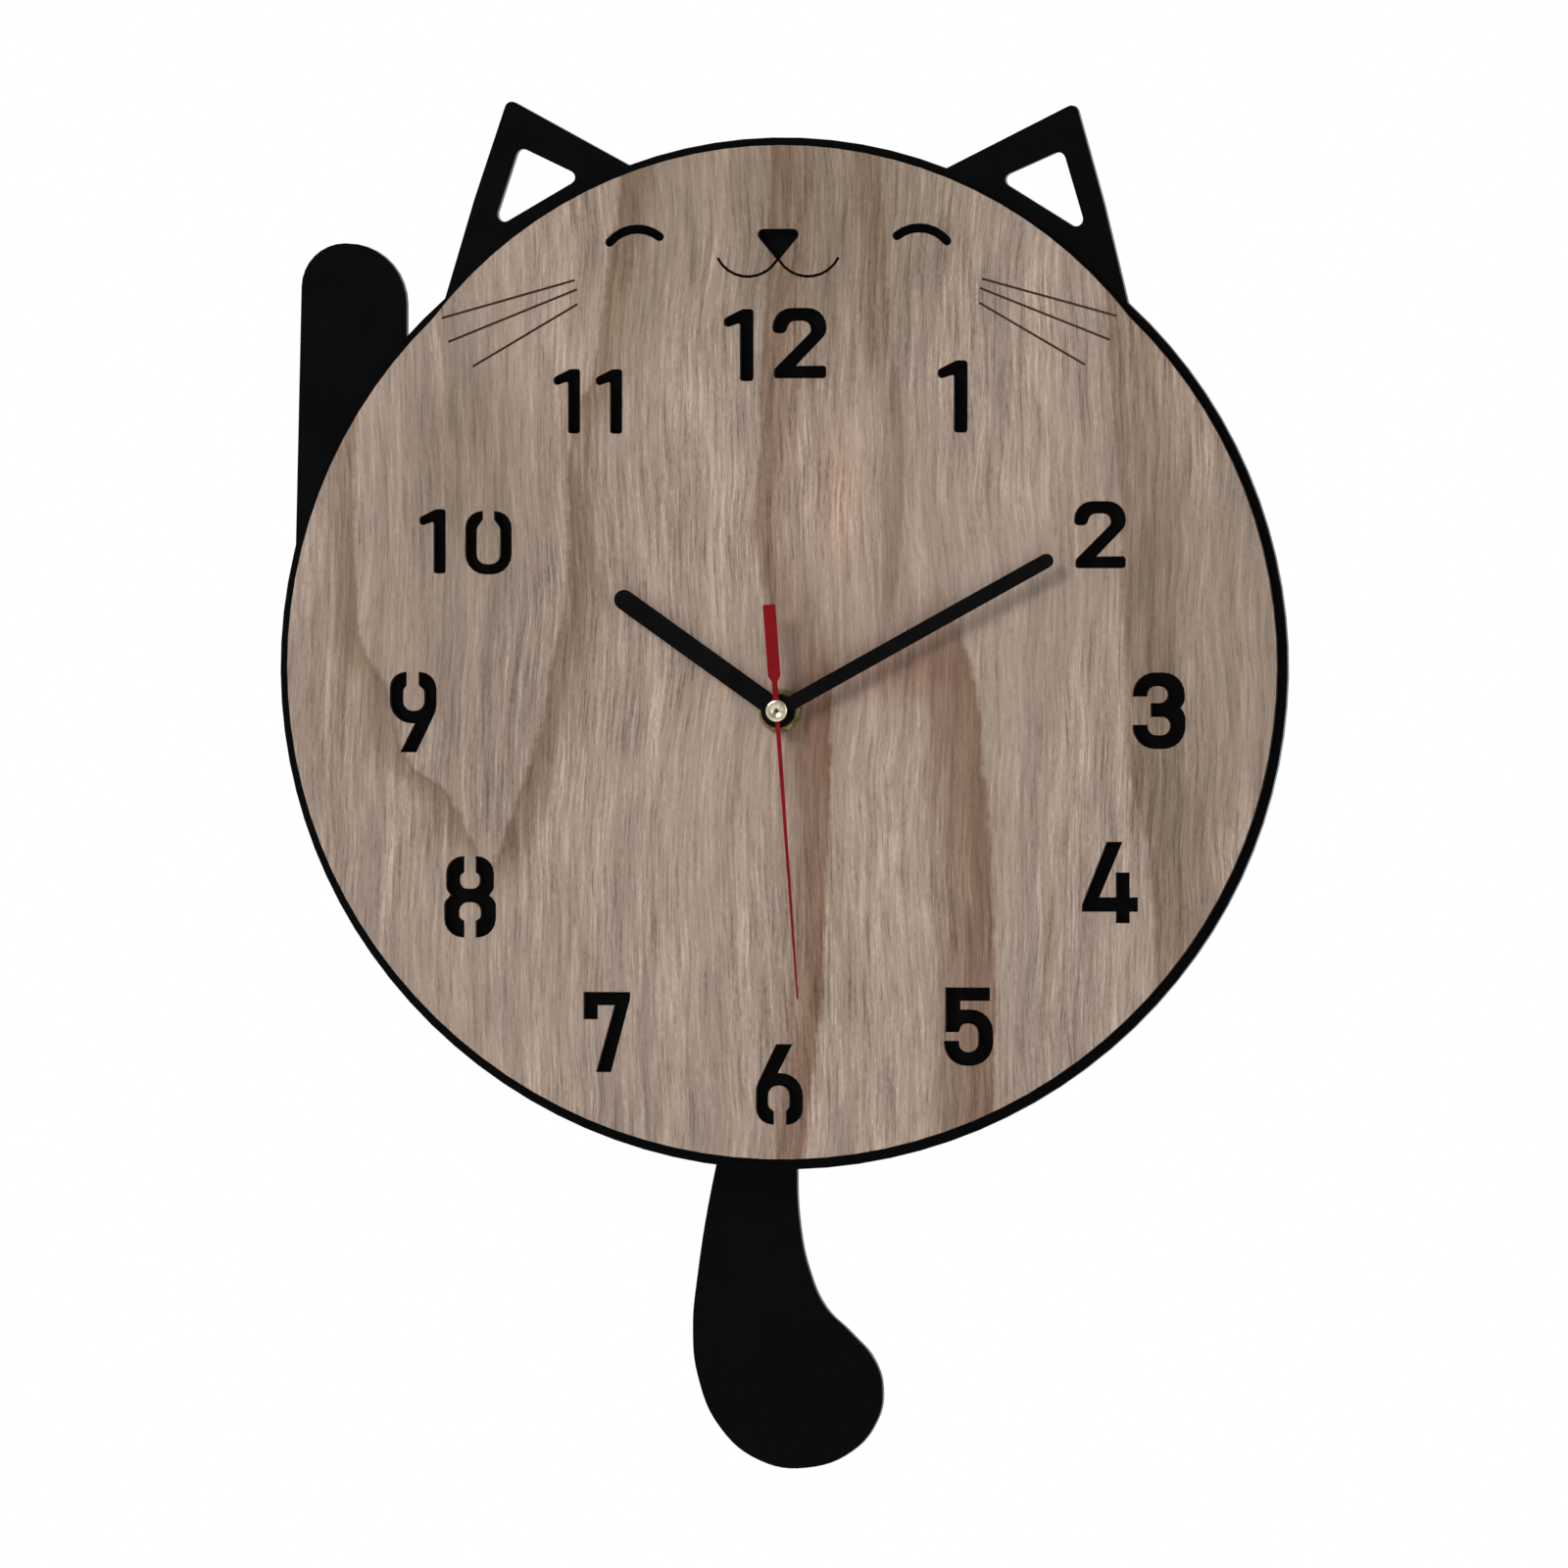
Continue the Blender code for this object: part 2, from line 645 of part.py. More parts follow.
def back_plate():
    holes = ear_windows() + [circle((0, 0), BUSH_RADII[0] + 0.4)]
    return finish(plate("back_plate", [plate_outline()] + holes, PLATE_Y), black_acrylic())


def eye():
    """A closed eye: part of a ring with round ends."""
    half = EYE_STROKE / 2
    near_end, far_end = EYE_ANGLES
    outer = arc(EYE_CENTRE, EYE_RADIUS + half, near_end, far_end)
    inner = arc(EYE_CENTRE, EYE_RADIUS - half, far_end, near_end)
    ends = arc(EYE_CENTRE, EYE_RADIUS, far_end, near_end)
    far = arc(ends[0], half, far_end, far_end + 180)
    near = arc(ends[-1], half, near_end + 180, near_end + 360)
    return outer[1:-1] + far + inner[1:-1] + near


def muzzle():
    """The nose and the two thin curves of the mouth below it."""
    outer_radius = MOUTH_RADIUS + MOUTH_STROKE / 2
    inner_radius = MOUTH_RADIUS - MOUTH_STROKE / 2
    meeting = -degrees(acos(-MOUTH_CENTRE[0] / outer_radius))
    lower = arc(MOUTH_CENTRE, outer_radius, meeting, -27)
    upper = arc(MOUTH_CENTRE, inner_radius, -27, -149)
    half = lower + upper
    left = [(-x, z) for x, z in reversed(half)]
    nose = [(NOSE_HALF, NOSE_TOP, 1.6), (-NOSE_HALF, NOSE_TOP, 1.6)]
    return rounded(sharp(half) + nose + sharp(left[:-1]))


def whiskers():
    """Three engraved lines on each cheek, as thin strokes."""
    lines = (((60.5, 125.4), (99.6, 114.6)), ((59.8, 122.7), (97.6, 107.7)),
             ((59.6, 118.4), (90.4, 100.5)))
    strokes = [bar(start, end, WHISKER_WIDTH) for start, end in lines]
    strokes += [mirrored(stroke) for stroke in strokes]
    return [placed(stroke, (FACE_X, 0.0)) for stroke in strokes]


def face_disc():
    features = [eye(), mirrored(eye()), muzzle()]
    holes = numerals() + [placed(feature, (FACE_X, 0.0)) for feature in features]
    bore = circle((0, 0), BUSH_RADII[0] + 0.4)
    disc = plate("face_disc", [wood_outline()] + holes + [bore], FACE_Y)
    engraving = (FACE_Y[1] + WHISKER_DEPTH, FACE_Y[1] - 1.0)
    cut(disc, plate("whisker_cutter", whiskers(), engraving))
    return finish(disc, wood())


# ------------------------------------------------------------------- hands

def hand_outline(length, width):
    """A straight hand with a round tip and a round hub."""
    half = width / 2
    spread = degrees(asin(half / HUB_RADIUS))
    hub = arc((0, 0), HUB_RADIUS, 90 + spread, 450 - spread)
    tip = arc((0, length - half), half, 0, 180)
    return hub + tip


def hour_hand():
    length, width, angle = HOUR_HAND
    outlines = [hand_outline(length, width), circle((0, 0), HOUR_TUBE_RADII[0] + FIT_GAP)]
    return finish(plate("hour_hand", outlines, HOUR_HAND_Y, spin=angle), black_paint())


def minute_hand():
    length, width, angle = MINUTE_HAND
    outlines = [hand_outline(length, width), circle((0, 0), CANNON_TUBE_RADII[0] + FIT_GAP)]
    return finish(plate("minute_hand", outlines, MINUTE_HAND_Y, spin=angle), black_paint())


def second_hand():
    """A tapering needle, with a blade for a counterweight."""
    hub = 3.0
    root = 0.65
    neck = 0.8
    blade = 1.85
    needle = [(root, hub), (0.25, NEEDLE_LENGTH), (-0.25, NEEDLE_LENGTH), (-root, hub)]
    left = arc((0, 0), hub, 105, 252)
    right = arc((0, 0), hub, 288, 435)
    weight = rounded([(-neck, -8.4, 0.0), (-blade, -10.2, 0.6), (-blade, -COUNTERWEIGHT, 0.3),
                      (blade, -COUNTERWEIGHT, 0.3), (blade, -10.2, 0.6), (neck, -8.4, 0.0)])
    outline = needle + left + weight + right
    bore = circle((0, 0), 1.1 + FIT_GAP)
    hand = plate("second_hand", [outline, bore], SECOND_HAND_Y, spin=SECOND_ANGLE)
    return finish(hand, red_paint())


def second_hand_hub():
    """Brass cap and tube that hold the second hand on its arbor."""
    bore = SECOND_ARBOR + 0.05
    profile = [(3.2, 30.4), (2.9, 31.0), (1.5, 31.0), (bore, 30.6), (bore, 29.3), (1.1, 29.3),
               (1.1, 30.3), (3.2, 30.3)]
    return finish(turned("second_hand_hub", profile), brass())


# ------------------------------------------------------------------- gears

def gear_outline(teeth, module, phase, tip, root, width):
    """Closed gear outline with one tooth centred at the phase angle.

    tip and root are heights over and under the pitch circle, in modules, and
    width is the tooth's share of the pitch there.
    """
    pitch = module * teeth / 2
    points = []
    for i in range(teeth):
        middle = phase + 2 * pi * i / teeth
        for radius, share in ((pitch - root * module, 1.25), (pitch + tip * module, 0.45)):
            half = pi / teeth * width * share
            side = (-half, half)
            points += [(radius, middle + angle) for angle in side]
        low_left, low_right, high_left, high_right = points[-4:]
        points[-4:] = [low_left, high_left, high_right, low_right]
    return [(radius * cos(angle), radius * sin(angle)) for radius, angle in points]


def wheel_outline(teeth, module, phase=0.0):
    return gear_outline(teeth, module, phase, 0.8, 1.15, 0.4)


def pinion_outline(teeth, module, phase=0.0):
    return gear_outline(teeth, module, phase, 0.75, 1.3, 0.34)


def direction(start, end):
    """Direction in radians from one axis to another."""
    return atan2(end[1] - start[1], end[0] - start[0])


def in_mesh(phase, teeth, start, end, other_teeth):
    """Phase of a gear at end, in mesh with a gear of known phase at start."""
    towards = direction(start, end)
    return towards + pi + ((towards - phase) * teeth - pi) / other_teeth


def module_for(start, end, teeth, other_teeth):
    """Module that makes two gears fit the distance between their axes."""
    return 2 * hypot(end[0] - start[0], end[1] - start[1]) / (teeth + other_teeth)


ROTOR_MODULE = module_for(ROTOR_AT, IDLER_AT, ROTOR_TEETH, IDLER_TEETH)
IDLER_MODULE = module_for(IDLER_AT, HANDS_AT, IDLER_PINION, SECOND_TEETH)
SECOND_MODULE = module_for(HANDS_AT, THIRD_AT, SECOND_PINION, THIRD_TEETH)
THIRD_MODULE = module_for(THIRD_AT, HANDS_AT, THIRD_PINION, CENTRE_TEETH)
CANNON_MODULE = module_for(HANDS_AT, MINUTE_AT, CANNON_PINION, MINUTE_TEETH)
HOUR_MODULE = module_for(MINUTE_AT, HANDS_AT, MINUTE_PINION, HOUR_TEETH)


def rotor_magnet():
    """Two-pole magnet ring on the rotor's pinion."""
    ring = tube("rotor_magnet", 3.0, ROTOR_SHAFT + FIT_GAP, (-7.7, -9.2), ROTOR_AT)
    return finish(ring, magnet())


def rotor_pinion():
    pinion = plate("rotor_pinion", [pinion_outline(ROTOR_TEETH, ROTOR_MODULE)],
                   ROTOR_PINION_Y, ROTOR_AT)
    join(pinion, rod("rotor_shaft", ROTOR_SHAFT, (-6.0, -9.3), ROTOR_AT),
         rod("rotor_pivot", PIVOT, (PIVOT_BACK, -10.2), ROTOR_AT))
    return finish(pinion, white_plastic())


def intermediate_wheel():
    phase = in_mesh(0.0, ROTOR_TEETH, ROTOR_AT, IDLER_AT, IDLER_TEETH)
    wheel = plate("intermediate_wheel", [wheel_outline(IDLER_TEETH, ROTOR_MODULE, phase)],
                  IDLER_WHEEL_Y, IDLER_AT)
    join(wheel,
         plate("intermediate_leaves", [pinion_outline(IDLER_PINION, IDLER_MODULE)],
               IDLER_PINION_Y, IDLER_AT),
         rod("intermediate_pivot", PIVOT, (PIVOT_BACK, -10.2), IDLER_AT))
    return finish(wheel, white_plastic())


def second_wheel():
    """Carries the second hand: its arbor runs out through both hand tubes."""
    phase = in_mesh(0.0, IDLER_PINION, IDLER_AT, HANDS_AT, SECOND_TEETH)
    wheel = plate("second_wheel", [wheel_outline(SECOND_TEETH, IDLER_MODULE, phase)],
                  SECOND_WHEEL_Y)
    join(wheel,
         plate("second_leaves", [pinion_outline(SECOND_PINION, SECOND_MODULE)],
               SECOND_PINION_Y),
         rod("second_arbor", SECOND_ARBOR, (PIVOT_BACK, -30.5)))
    return finish(wheel, white_plastic())


def third_wheel():
    phase = in_mesh(0.0, SECOND_PINION, HANDS_AT, THIRD_AT, THIRD_TEETH)
    wheel = plate("third_wheel", [wheel_outline(THIRD_TEETH, SECOND_MODULE, phase)],
                  THIRD_WHEEL_Y, THIRD_AT)
    join(wheel,
         plate("third_leaves", [pinion_outline(THIRD_PINION, THIRD_MODULE)],
               THIRD_PINION_Y, THIRD_AT),
         rod("third_pivot", PIVOT, (PIVOT_BACK, -16.3), THIRD_AT))
    return finish(wheel, white_plastic())


def centre_wheel():
    """Slips on the cannon pinion when the hands are set."""
    phase = in_mesh(0.0, THIRD_PINION, THIRD_AT, HANDS_AT, CENTRE_TEETH)
    bore = circle((0, 0), CANNON_TUBE_RADII[0] + FIT_GAP)
    outlines = [wheel_outline(CENTRE_TEETH, THIRD_MODULE, phase), bore]
    return finish(plate("centre_wheel", outlines, CENTRE_WHEEL_Y), white_plastic())


def cannon_pinion():
    """Hollow pinion whose tube carries the minute hand."""
    outer, inner = CANNON_TUBE_RADII
    pinion = plate("cannon_pinion", [pinion_outline(CANNON_PINION, CANNON_MODULE),
                                     circle((0, 0), inner)], CANNON_PINION_Y)
    join(pinion, tube("cannon_tube", outer, inner, (-11.0, -29.0)))
    return finish(pinion, brass())


def minute_wheel():
    """Reduces the minutes to hours; its arbor runs back to the knob."""
    phase = in_mesh(0.0, CANNON_PINION, HANDS_AT, MINUTE_AT, MINUTE_TEETH)
    wheel = plate("minute_wheel", [wheel_outline(MINUTE_TEETH, CANNON_MODULE, phase)],
                  MINUTE_WHEEL_Y, MINUTE_AT)
    join(wheel,
         plate("minute_leaves", [pinion_outline(MINUTE_PINION, HOUR_MODULE)],
               MINUTE_PINION_Y, MINUTE_AT),
         rod("minute_arbor", KNOB_ARBOR, (-0.9, -13.0), MINUTE_AT),
         rod("minute_pivot", PIVOT, (-12.0, -16.3), MINUTE_AT))
    return finish(wheel, white_plastic())


def hour_wheel():
    """Wheel whose tube carries the hour hand."""
    phase = in_mesh(0.0, MINUTE_PINION, MINUTE_AT, HANDS_AT, HOUR_TEETH)
    outer, inner = HOUR_TUBE_RADII
    wheel = plate("hour_wheel", [wheel_outline(HOUR_TEETH, HOUR_MODULE, phase),
                                 circle((0, 0), inner)], HOUR_WHEEL_Y)
    join(wheel, tube("hour_tube", outer, inner, (-14.6, -27.7)))
    return finish(wheel, white_plastic())


def setting_knob():
    """Knurled knob that turns the hands by hand, sunk in the back cover."""
    ridges = 24
    rim = []
    for i in range(ridges):
        for share, radius in ((0.0, KNOB_RADIUS), (0.5, KNOB_RADIUS - 0.35)):
            angle = 2 * pi * (i + share) / ridges
            rim.append((radius * cos(angle), radius * sin(angle)))
    bore = circle((0, 0), KNOB_ARBOR + FIT_GAP)
    return finish(plate("setting_knob", [rim, bore], (-0.7, -3.4), MINUTE_AT), black_plastic())


# ---------------------------------------------------------- motor, electrics

def coil_bobbin():
    """Plastic spool across the case, over the stator's arms."""
    flange, tube_radius, bore = 4.2, 1.9, 1.5
    profile = [(bore, 9.0), (flange, 9.0), (flange, 8.2), (tube_radius, 8.2),
               (tube_radius, -8.2), (flange, -8.2), (flange, -9.0), (bore, -9.0)]
    return finish(turned("coil_bobbin", profile, (0, COIL_Z), 20, "X", COIL_Y), white_plastic())


def coil_winding():
    """Fine copper wire wound on the bobbin, seen as one body."""
    inner, outer, half = 2.1, 3.7, 7.9
    profile = [(outer, half), (outer, -half), (inner, -half), (inner, half)]
    return finish(turned("coil_winding", profile, (0, COIL_Z), 20, "X", COIL_Y), copper())


def coil_core():
    """Iron bar through the bobbin, lying on the stator's arms."""
    return finish(block("coil_core", 2 * ARM_X, 2.0, CORE_Y, (0, COIL_Z)), steel())


def stator():
    """Iron plate that leads the coil's field around the rotor."""
    top = COIL_Z + 1.2
    outer = rounded([(ARM_X, 8.6, 2.5), (ARM_X, top, 0.3), (10.5, top, 0.3),
                     (10.5, 15.6, 1.5), (-10.0, 15.6, 1.5), (-10.0, top, 0.3),
                     (-ARM_X, top, 0.3), (-ARM_X, 11.4, 1.0), (-3.3, 11.4, 0.3),
                     (-1.5, 7.9, 0.5), (5.0, 7.9, 2.0), (7.2, 11.4, 1.0), (9.4, 8.6, 1.0)])
    hole = circle(ROTOR_AT, 3.4)
    return finish(plate("stator", [outer, hole], STATOR_Y), steel())


def circuit_board():
    outline = box(-25.6, -12.0, 9.5, 25.4, 0.5)
    return finish(plate("circuit_board", [outline], BOARD_Y), board_laminate())


def ic_blob():
    """Drop of black resin over the clock circuit."""
    base = -BOARD_Y[0] - SOLDER_GAP
    height = 1.2
    profile = [(0.0, base), (2.9, base), (2.75, base - 0.4), (1.9, base - 0.95),
               (0.0, base - height)]
    return finish(turned("ic_blob", profile, (-19.0, 19.8), 16), black_plastic())


def quartz_crystal():
    """Small steel can that keeps the time."""
    radius, half = 1.0, 3.0
    profile = [(0.0, half), (radius, half - 0.15), (radius, -half), (0.0, -half)]
    middle = BOARD_Y[0] + SOLDER_GAP + radius
    can = turned("quartz_crystal", profile, (-19.0, 12.6), 12, "X", middle)
    return finish(can, steel())


def strip_outline(path, thickness):
    """A bent strip seen from its edge, along a path of straight runs."""
    half = thickness / 2
    sides = ([], [])
    for i, point in enumerate(path):
        here = Vector(point)
        before = (here - Vector(path[i - 1])).normalized() if i else None
        after = (Vector(path[i + 1]) - here).normalized() if i + 1 < len(path) else before
        before = before or after
        along = (before + after).normalized()
        reach = half / along.dot(before)
        across = Vector((-along.y, along.x)) * reach
        sides[0].append(tuple(here + across))
        sides[1].append(tuple(here - across))
    return sides[0] + sides[1][::-1]


def battery_contact_positive():
    """Strip along the right and top walls, from the battery to the board."""
    path = [(26.2, -24.0), (26.2, 24.4), (24.4, 26.2), (-11.0, 26.2)]
    outline = strip_outline(path, CONTACT_THICKNESS)
    return finish(plate("battery_contact_positive", [outline], CONTACT_Y), steel())


def battery_contact_negative():
    """Strip on the left wall, with a springy fold against the battery."""
    path = [(-26.4, 9.0), (-26.4, -24.6), (-25.3, -25.2), (-24.95, -24.2), (-24.95, -16.5),
            (-25.6, -15.2)]
    outline = strip_outline(path, CONTACT_THICKNESS)
    return finish(plate("battery_contact_negative", [outline], CONTACT_Y), steel())


def battery():
    """AA cell: a jacket with a button at its right end."""
    left, right = BATTERY_ENDS
    nub_radius, nub_length = BATTERY_NUB
    r = BATTERY_RADIUS
    profile = [(0.0, right + nub_length), (nub_radius - 0.3, right + nub_length),
               (nub_radius, right + nub_length - 0.3), (nub_radius, right - 0.3),
               (r - 0.8, right), (r, right - 0.7), (r, left + 0.6), (r - 0.6, left),
               (0.0, left)]
    cell = turned("battery", profile, (0, BATTERY_Z), 28, "X", BATTERY_Y)
    return finish(cell, battery_jacket())


# -------------------------------------------------------------------- case

def case_outline(inset=0.0):
    """Square movement case with a narrower box for the tail drive below."""
    side = CASE_HALF - inset
    low = BOX_HALF - inset
    bottom = BOX_BOTTOM + inset
    corner = 3.0 - inset
    shoulder = -side
    waist = shoulder - SHOULDER_SLOPE
    return rounded([(side, side, corner), (-side, side, corner), (-side, shoulder, corner),
                    (-low, waist, 0.0), (-low, bottom, corner), (low, bottom, corner),
                    (low, waist, 0.0), (side, shoulder, corner)])


def front_case():
    """Open box that holds the whole movement; its floor faces the plate."""
    case = plate("front_case", [case_outline()], CASE_Y)
    inside = plate("case_cavity", [case_outline(CASE_WALL)], (CASE_Y[0] + 1, CASE_FLOOR))
    bush_hole = rod("bush_hole_cutter", BUSH_RADII[0] + 0.2, (CASE_FLOOR + 1, CASE_Y[1] - 1))
    flange_seat = rod("flange_seat_cutter", 6.3, (CASE_FLOOR + 1, -16.5))
    slot = block("lever_slot_cutter", 2 * LEVER_SLOT, 4.0, (-4.8, -8.0), (0, BOX_BOTTOM))
    notch = block("hanger_notch_cutter", 2 * HANGER_HALF + 0.6, 4.0,
                  (CASE_Y[0] + 1, HANGER_Y[1] - 0.3), (0, CASE_HALF))
    cut(case, inside, bush_hole, flange_seat, slot, notch)
    into_floor = CASE_FLOOR - 0.6
    for name, length, z in (("rib_above_cell", 50.0, -11.5), ("rib_below_cell", 38.0, -28.1)):
        join(case, block(name, length, 1.0, (-6.0, into_floor), (0, z)))
    for x, z in ((-14.0, 24.0), (14.0, 24.0), (-22.5, -8.0), (22.5, -8.0)):
        join(case, rod("plate_post", 1.5, (MIDDLE_PLATE_Y[1] - 0.3, into_floor), (x, z)))
    for at in (THIRD_AT, MINUTE_AT):
        join(case, tube("front_bearing", 1.2, PIVOT + RUNNING_GAP, (-15.65, into_floor), at))
        cut(case, rod("bearing_hole", PIVOT + RUNNING_GAP, (-15.0, -16.6), at))
    join(case, tube("lever_boss", SEAT_BOSS, PIN_SEAT, (-12.4, into_floor), (0, SWING_Z)))
    return finish(case, black_plastic())


def back_cover():
    """Lid with the battery opening, the knob's pocket and the back bearings."""
    battery_door = box(BATTERY_ENDS[0] - 0.9, BATTERY_ENDS[1] + 1.9,
                       BATTERY_Z - OPENING_HALF, BATTERY_Z + OPENING_HALF, 0.8)
    cover = plate("back_cover", [case_outline(), battery_door], COVER_Y)
    join(cover, rod("knob_pocket", KNOB_RADIUS + 1.4, (-1.0, -4.8), MINUTE_AT))
    cut(cover, rod("knob_hole", KNOB_RADIUS + 0.5, (1.0, -4.0), MINUTE_AT),
        rod("arbor_hole", KNOB_ARBOR + RUNNING_GAP, (-3.0, -6.0), MINUTE_AT))
    for at in (HANDS_AT, THIRD_AT, IDLER_AT, ROTOR_AT):
        join(cover, rod("back_bearing", 1.3, (-1.0, BOSS_FRONT), at))
        radius = (SECOND_ARBOR if at == HANDS_AT else PIVOT) + RUNNING_GAP
        cut(cover, rod("pivot_hole", radius, (PIVOT_BACK + 0.3, BOSS_FRONT - 1), at))
    for x, z in ((-19.9, -40.0), (19.9, -40.0), (-19.9, -60.0), (19.9, -60.0)):
        join(cover, block("cover_hook", 1.0, 6.0, (-1.0, -5.0), (x, z)))
    join(cover, rod("pin_boss", SEAT_BOSS, (-1.0, -4.6), (0, SWING_Z)))
    cut(cover, rod("pin_hole", PIN_SEAT, (-2.0, -6.0), (0, SWING_Z)))
    for x in (-PEG_X, PEG_X):
        join(cover, rod("hanger_peg", 1.1, (-1.0, HANGER_Y[1] - 0.3), (x, PEG_Z)))
    return finish(cover, black_plastic())


def middle_plate():
    """Bearing plate between the slow and the fast half of the train."""
    outline = rounded([(15.8, 7.5, 1.0), (15.8, 26.0, 1.0), (12.2, 26.0, 1.0), (12.2, 16.2, 1.0),
                       (-12.2, 16.2, 1.0), (-12.2, 26.0, 1.0), (-15.8, 26.0, 1.0),
                       (-15.8, 7.5, 1.0), (-24.6, -4.0, 1.5), (-24.6, -10.0, 1.5),
                       (24.6, -10.0, 1.5), (24.6, -4.0, 1.5)])
    holes = [circle(THIRD_AT, 1.6), circle(MINUTE_AT, KNOB_ARBOR + RUNNING_GAP),
             circle(HANDS_AT, SECOND_ARBOR + RUNNING_GAP)]
    for at in (IDLER_AT, ROTOR_AT):
        holes.append(circle(at, PIVOT + RUNNING_GAP))
    return finish(plate("middle_plate", [outline] + holes, MIDDLE_PLATE_Y), white_plastic())


def hanger():
    """Bent steel tab with a keyhole, held between the case and its cover."""
    margin = 1.0
    sunk = sum(HANGER_Y) / 2
    step_start, step_end = HANGER_STEP
    side_view = strip_outline([(sunk, HANGER_FOOT - margin), (sunk, step_start),
                               (HANGER_FLUSH, step_end), (HANGER_FLUSH, HANGER_TOP + margin)],
                              HANGER_Y[0] - HANGER_Y[1])
    half = HANGER_HALF + margin
    tab = plate("hanger", [side_view], (half, -half))
    tab.rotation_euler = (pi / 2, 0.0, pi / 2)
    outline = rounded([(HANGER_HALF, HANGER_FOOT, 0.8), (HANGER_HALF, HANGER_TOP, 6.0),
                       (-HANGER_HALF, HANGER_TOP, 6.0), (-HANGER_HALF, HANGER_FOOT, 0.8)])
    wide, narrow = KEYHOLE_RADII
    lip = degrees(asin(narrow / wide))
    keyhole = (arc((0, KEYHOLE_Z), wide, 90 + lip, 450 - lip)
               + arc((0, KEYHOLE_Z + KEYHOLE_RISE), narrow, 0, 180))
    holes = [circle((x, PEG_Z), 1.3) for x in (-PEG_X, PEG_X)]
    trim = plate("hanger_trim", [outline, keyhole] + holes, (1.0, -4.0))
    combine(tab, trim, "INTERSECT")
    return finish(tab, steel())


def threaded_bush():
    """Threaded brass tube, flanged inside the case; the nut clamps on it."""
    outer, inner = BUSH_RADII
    profile = [(6.1, 15.9), (6.1, 16.35), (outer, 16.35), (outer, 26.5), (inner, 26.5),
               (inner, 15.9)]
    return finish(turned("threaded_bush", profile), brass())


def rubber_gasket():
    hole = circle((0, 0), BUSH_RADII[0] + 0.4)
    outline = box(-20.0, 20.0, -20.0, 20.0, 4.0)
    return finish(plate("rubber_gasket", [outline, hole], GASKET_Y), rubber())


def dial_washer():
    return finish(tube("dial_washer", 6.4, BUSH_RADII[0] + 0.2, WASHER_Y), brass())


def mounting_nut():
    across_flats = 11.0
    hexagon = circle((0, 0), across_flats / 2 / cos(pi / 6), 6)
    hole = circle((0, 0), BUSH_RADII[0] + 0.15)
    return finish(plate("mounting_nut", [hexagon, hole], NUT_Y), brass())


# --------------------------------------------------------------- tail drive

def lever_pivot_pin():
    pin = rod("lever_pivot_pin", PIN_RADIUS, (-2.2, -14.2), (0, SWING_Z))
    return finish(pin, steel())


def tail_lever():
    """Swings on the pin; its hook carries the tail below the case."""
    half = 2.2
    end = HOOK_Z - SWING_Z - 3.0
    outline = rounded([(half, 0.0, 0.0), (half, end, 2.0), (-half, end, 2.0), (-half, 0.0, 0.0)])
    lever = plate("tail_lever", [outline], LEVER_Y, (0, SWING_Z))
    join(lever, rod("lever_hub", 3.6, (-5.0, -11.8), (0, SWING_Z)),
         rod("hook_peg", 1.3, (-6.6, -12.2), (0, HOOK_Z)),
         block("hook_lip", 2.6, 3.2, (-11.2, -12.2), (0, HOOK_Z + 1.6)))
    cut(lever, rod("lever_bore", PIN_RADIUS + FIT_GAP, (-4.0, -13.0), (0, SWING_Z)))
    return finish(lever, white_plastic())


def lever_magnet():
    below_pin = (0.0, DRIVE_Z - SWING_Z)
    disc = rod("lever_magnet", 3.5, (-7.3, -9.8), (0, SWING_Z), below_pin)
    return finish(disc, magnet())


def drive_coil_bobbin():
    """Flat spool in front of the magnet, standing on the case floor."""
    profile = [(1.5, 10.9), (7.2, 10.9), (7.2, 11.5), (2.2, 11.5), (2.2, 14.9), (7.2, 14.9),
               (7.2, 15.5), (1.5, 15.5)]
    return finish(turned("drive_coil_bobbin", profile, (0, DRIVE_Z)), white_plastic())


def drive_coil_winding():
    profile = [(2.4, 11.8), (6.6, 11.8), (6.6, 14.6), (2.4, 14.6)]
    return finish(turned("drive_coil_winding", profile, (0, DRIVE_Z)), copper())


def tail():
    """The swinging tail: it widens down from the hook and curls to the right."""
    edge = [(0, -68.0), (5.2, -72.5), (4.6, -90.0), (3.0, -112.0), (2.4, -133.0),
            (3.2, -150.0), (5.9, -163.0), (10.9, -174.0), (18.4, -181.4), (25.4, -189.5),
            (27.8, -199.0), (26.0, -207.1), (18.8, -215.9), (5.0, -221.0), (-8.6, -219.0),
            (-20.5, -209.4), (-27.2, -194.1), (-28.6, -180.5), (-27.3, -165.5),
            (-21.6, -132.5), (-15.2, -108.0), (-8.8, -88.0), (-5.2, -72.5)]
    from_pivot = (0.0, -SWING_Z)
    hole = placed(circle((0, HOOK_Z), 1.6), from_pivot)
    piece = plate("tail", [hole], TAIL_Y, (0, SWING_Z), smooth=[placed(edge, from_pivot)])
    return finish(piece, black_acrylic())


# ------------------------------------------------------------------- clock

def clear_scene():
    for thing in list(bpy.data.objects):
        bpy.data.objects.remove(thing)


def build_clock():
    clear_scene()
    for make in (face_disc, back_plate, rubber_gasket, dial_washer, mounting_nut, threaded_bush,
                 hour_hand, minute_hand, second_hand, second_hand_hub,
                 rotor_magnet, rotor_pinion, intermediate_wheel, second_wheel, third_wheel,
                 centre_wheel, cannon_pinion, minute_wheel, hour_wheel, setting_knob,
                 front_case, back_cover, middle_plate, hanger,
                 battery, battery_contact_positive, battery_contact_negative,
                 circuit_board, ic_blob, quartz_crystal,
                 coil_bobbin, coil_winding, coil_core, stator,
                 lever_pivot_pin, tail_lever, lever_magnet, drive_coil_bobbin,
                 drive_coil_winding, tail):
        make()


build_clock()
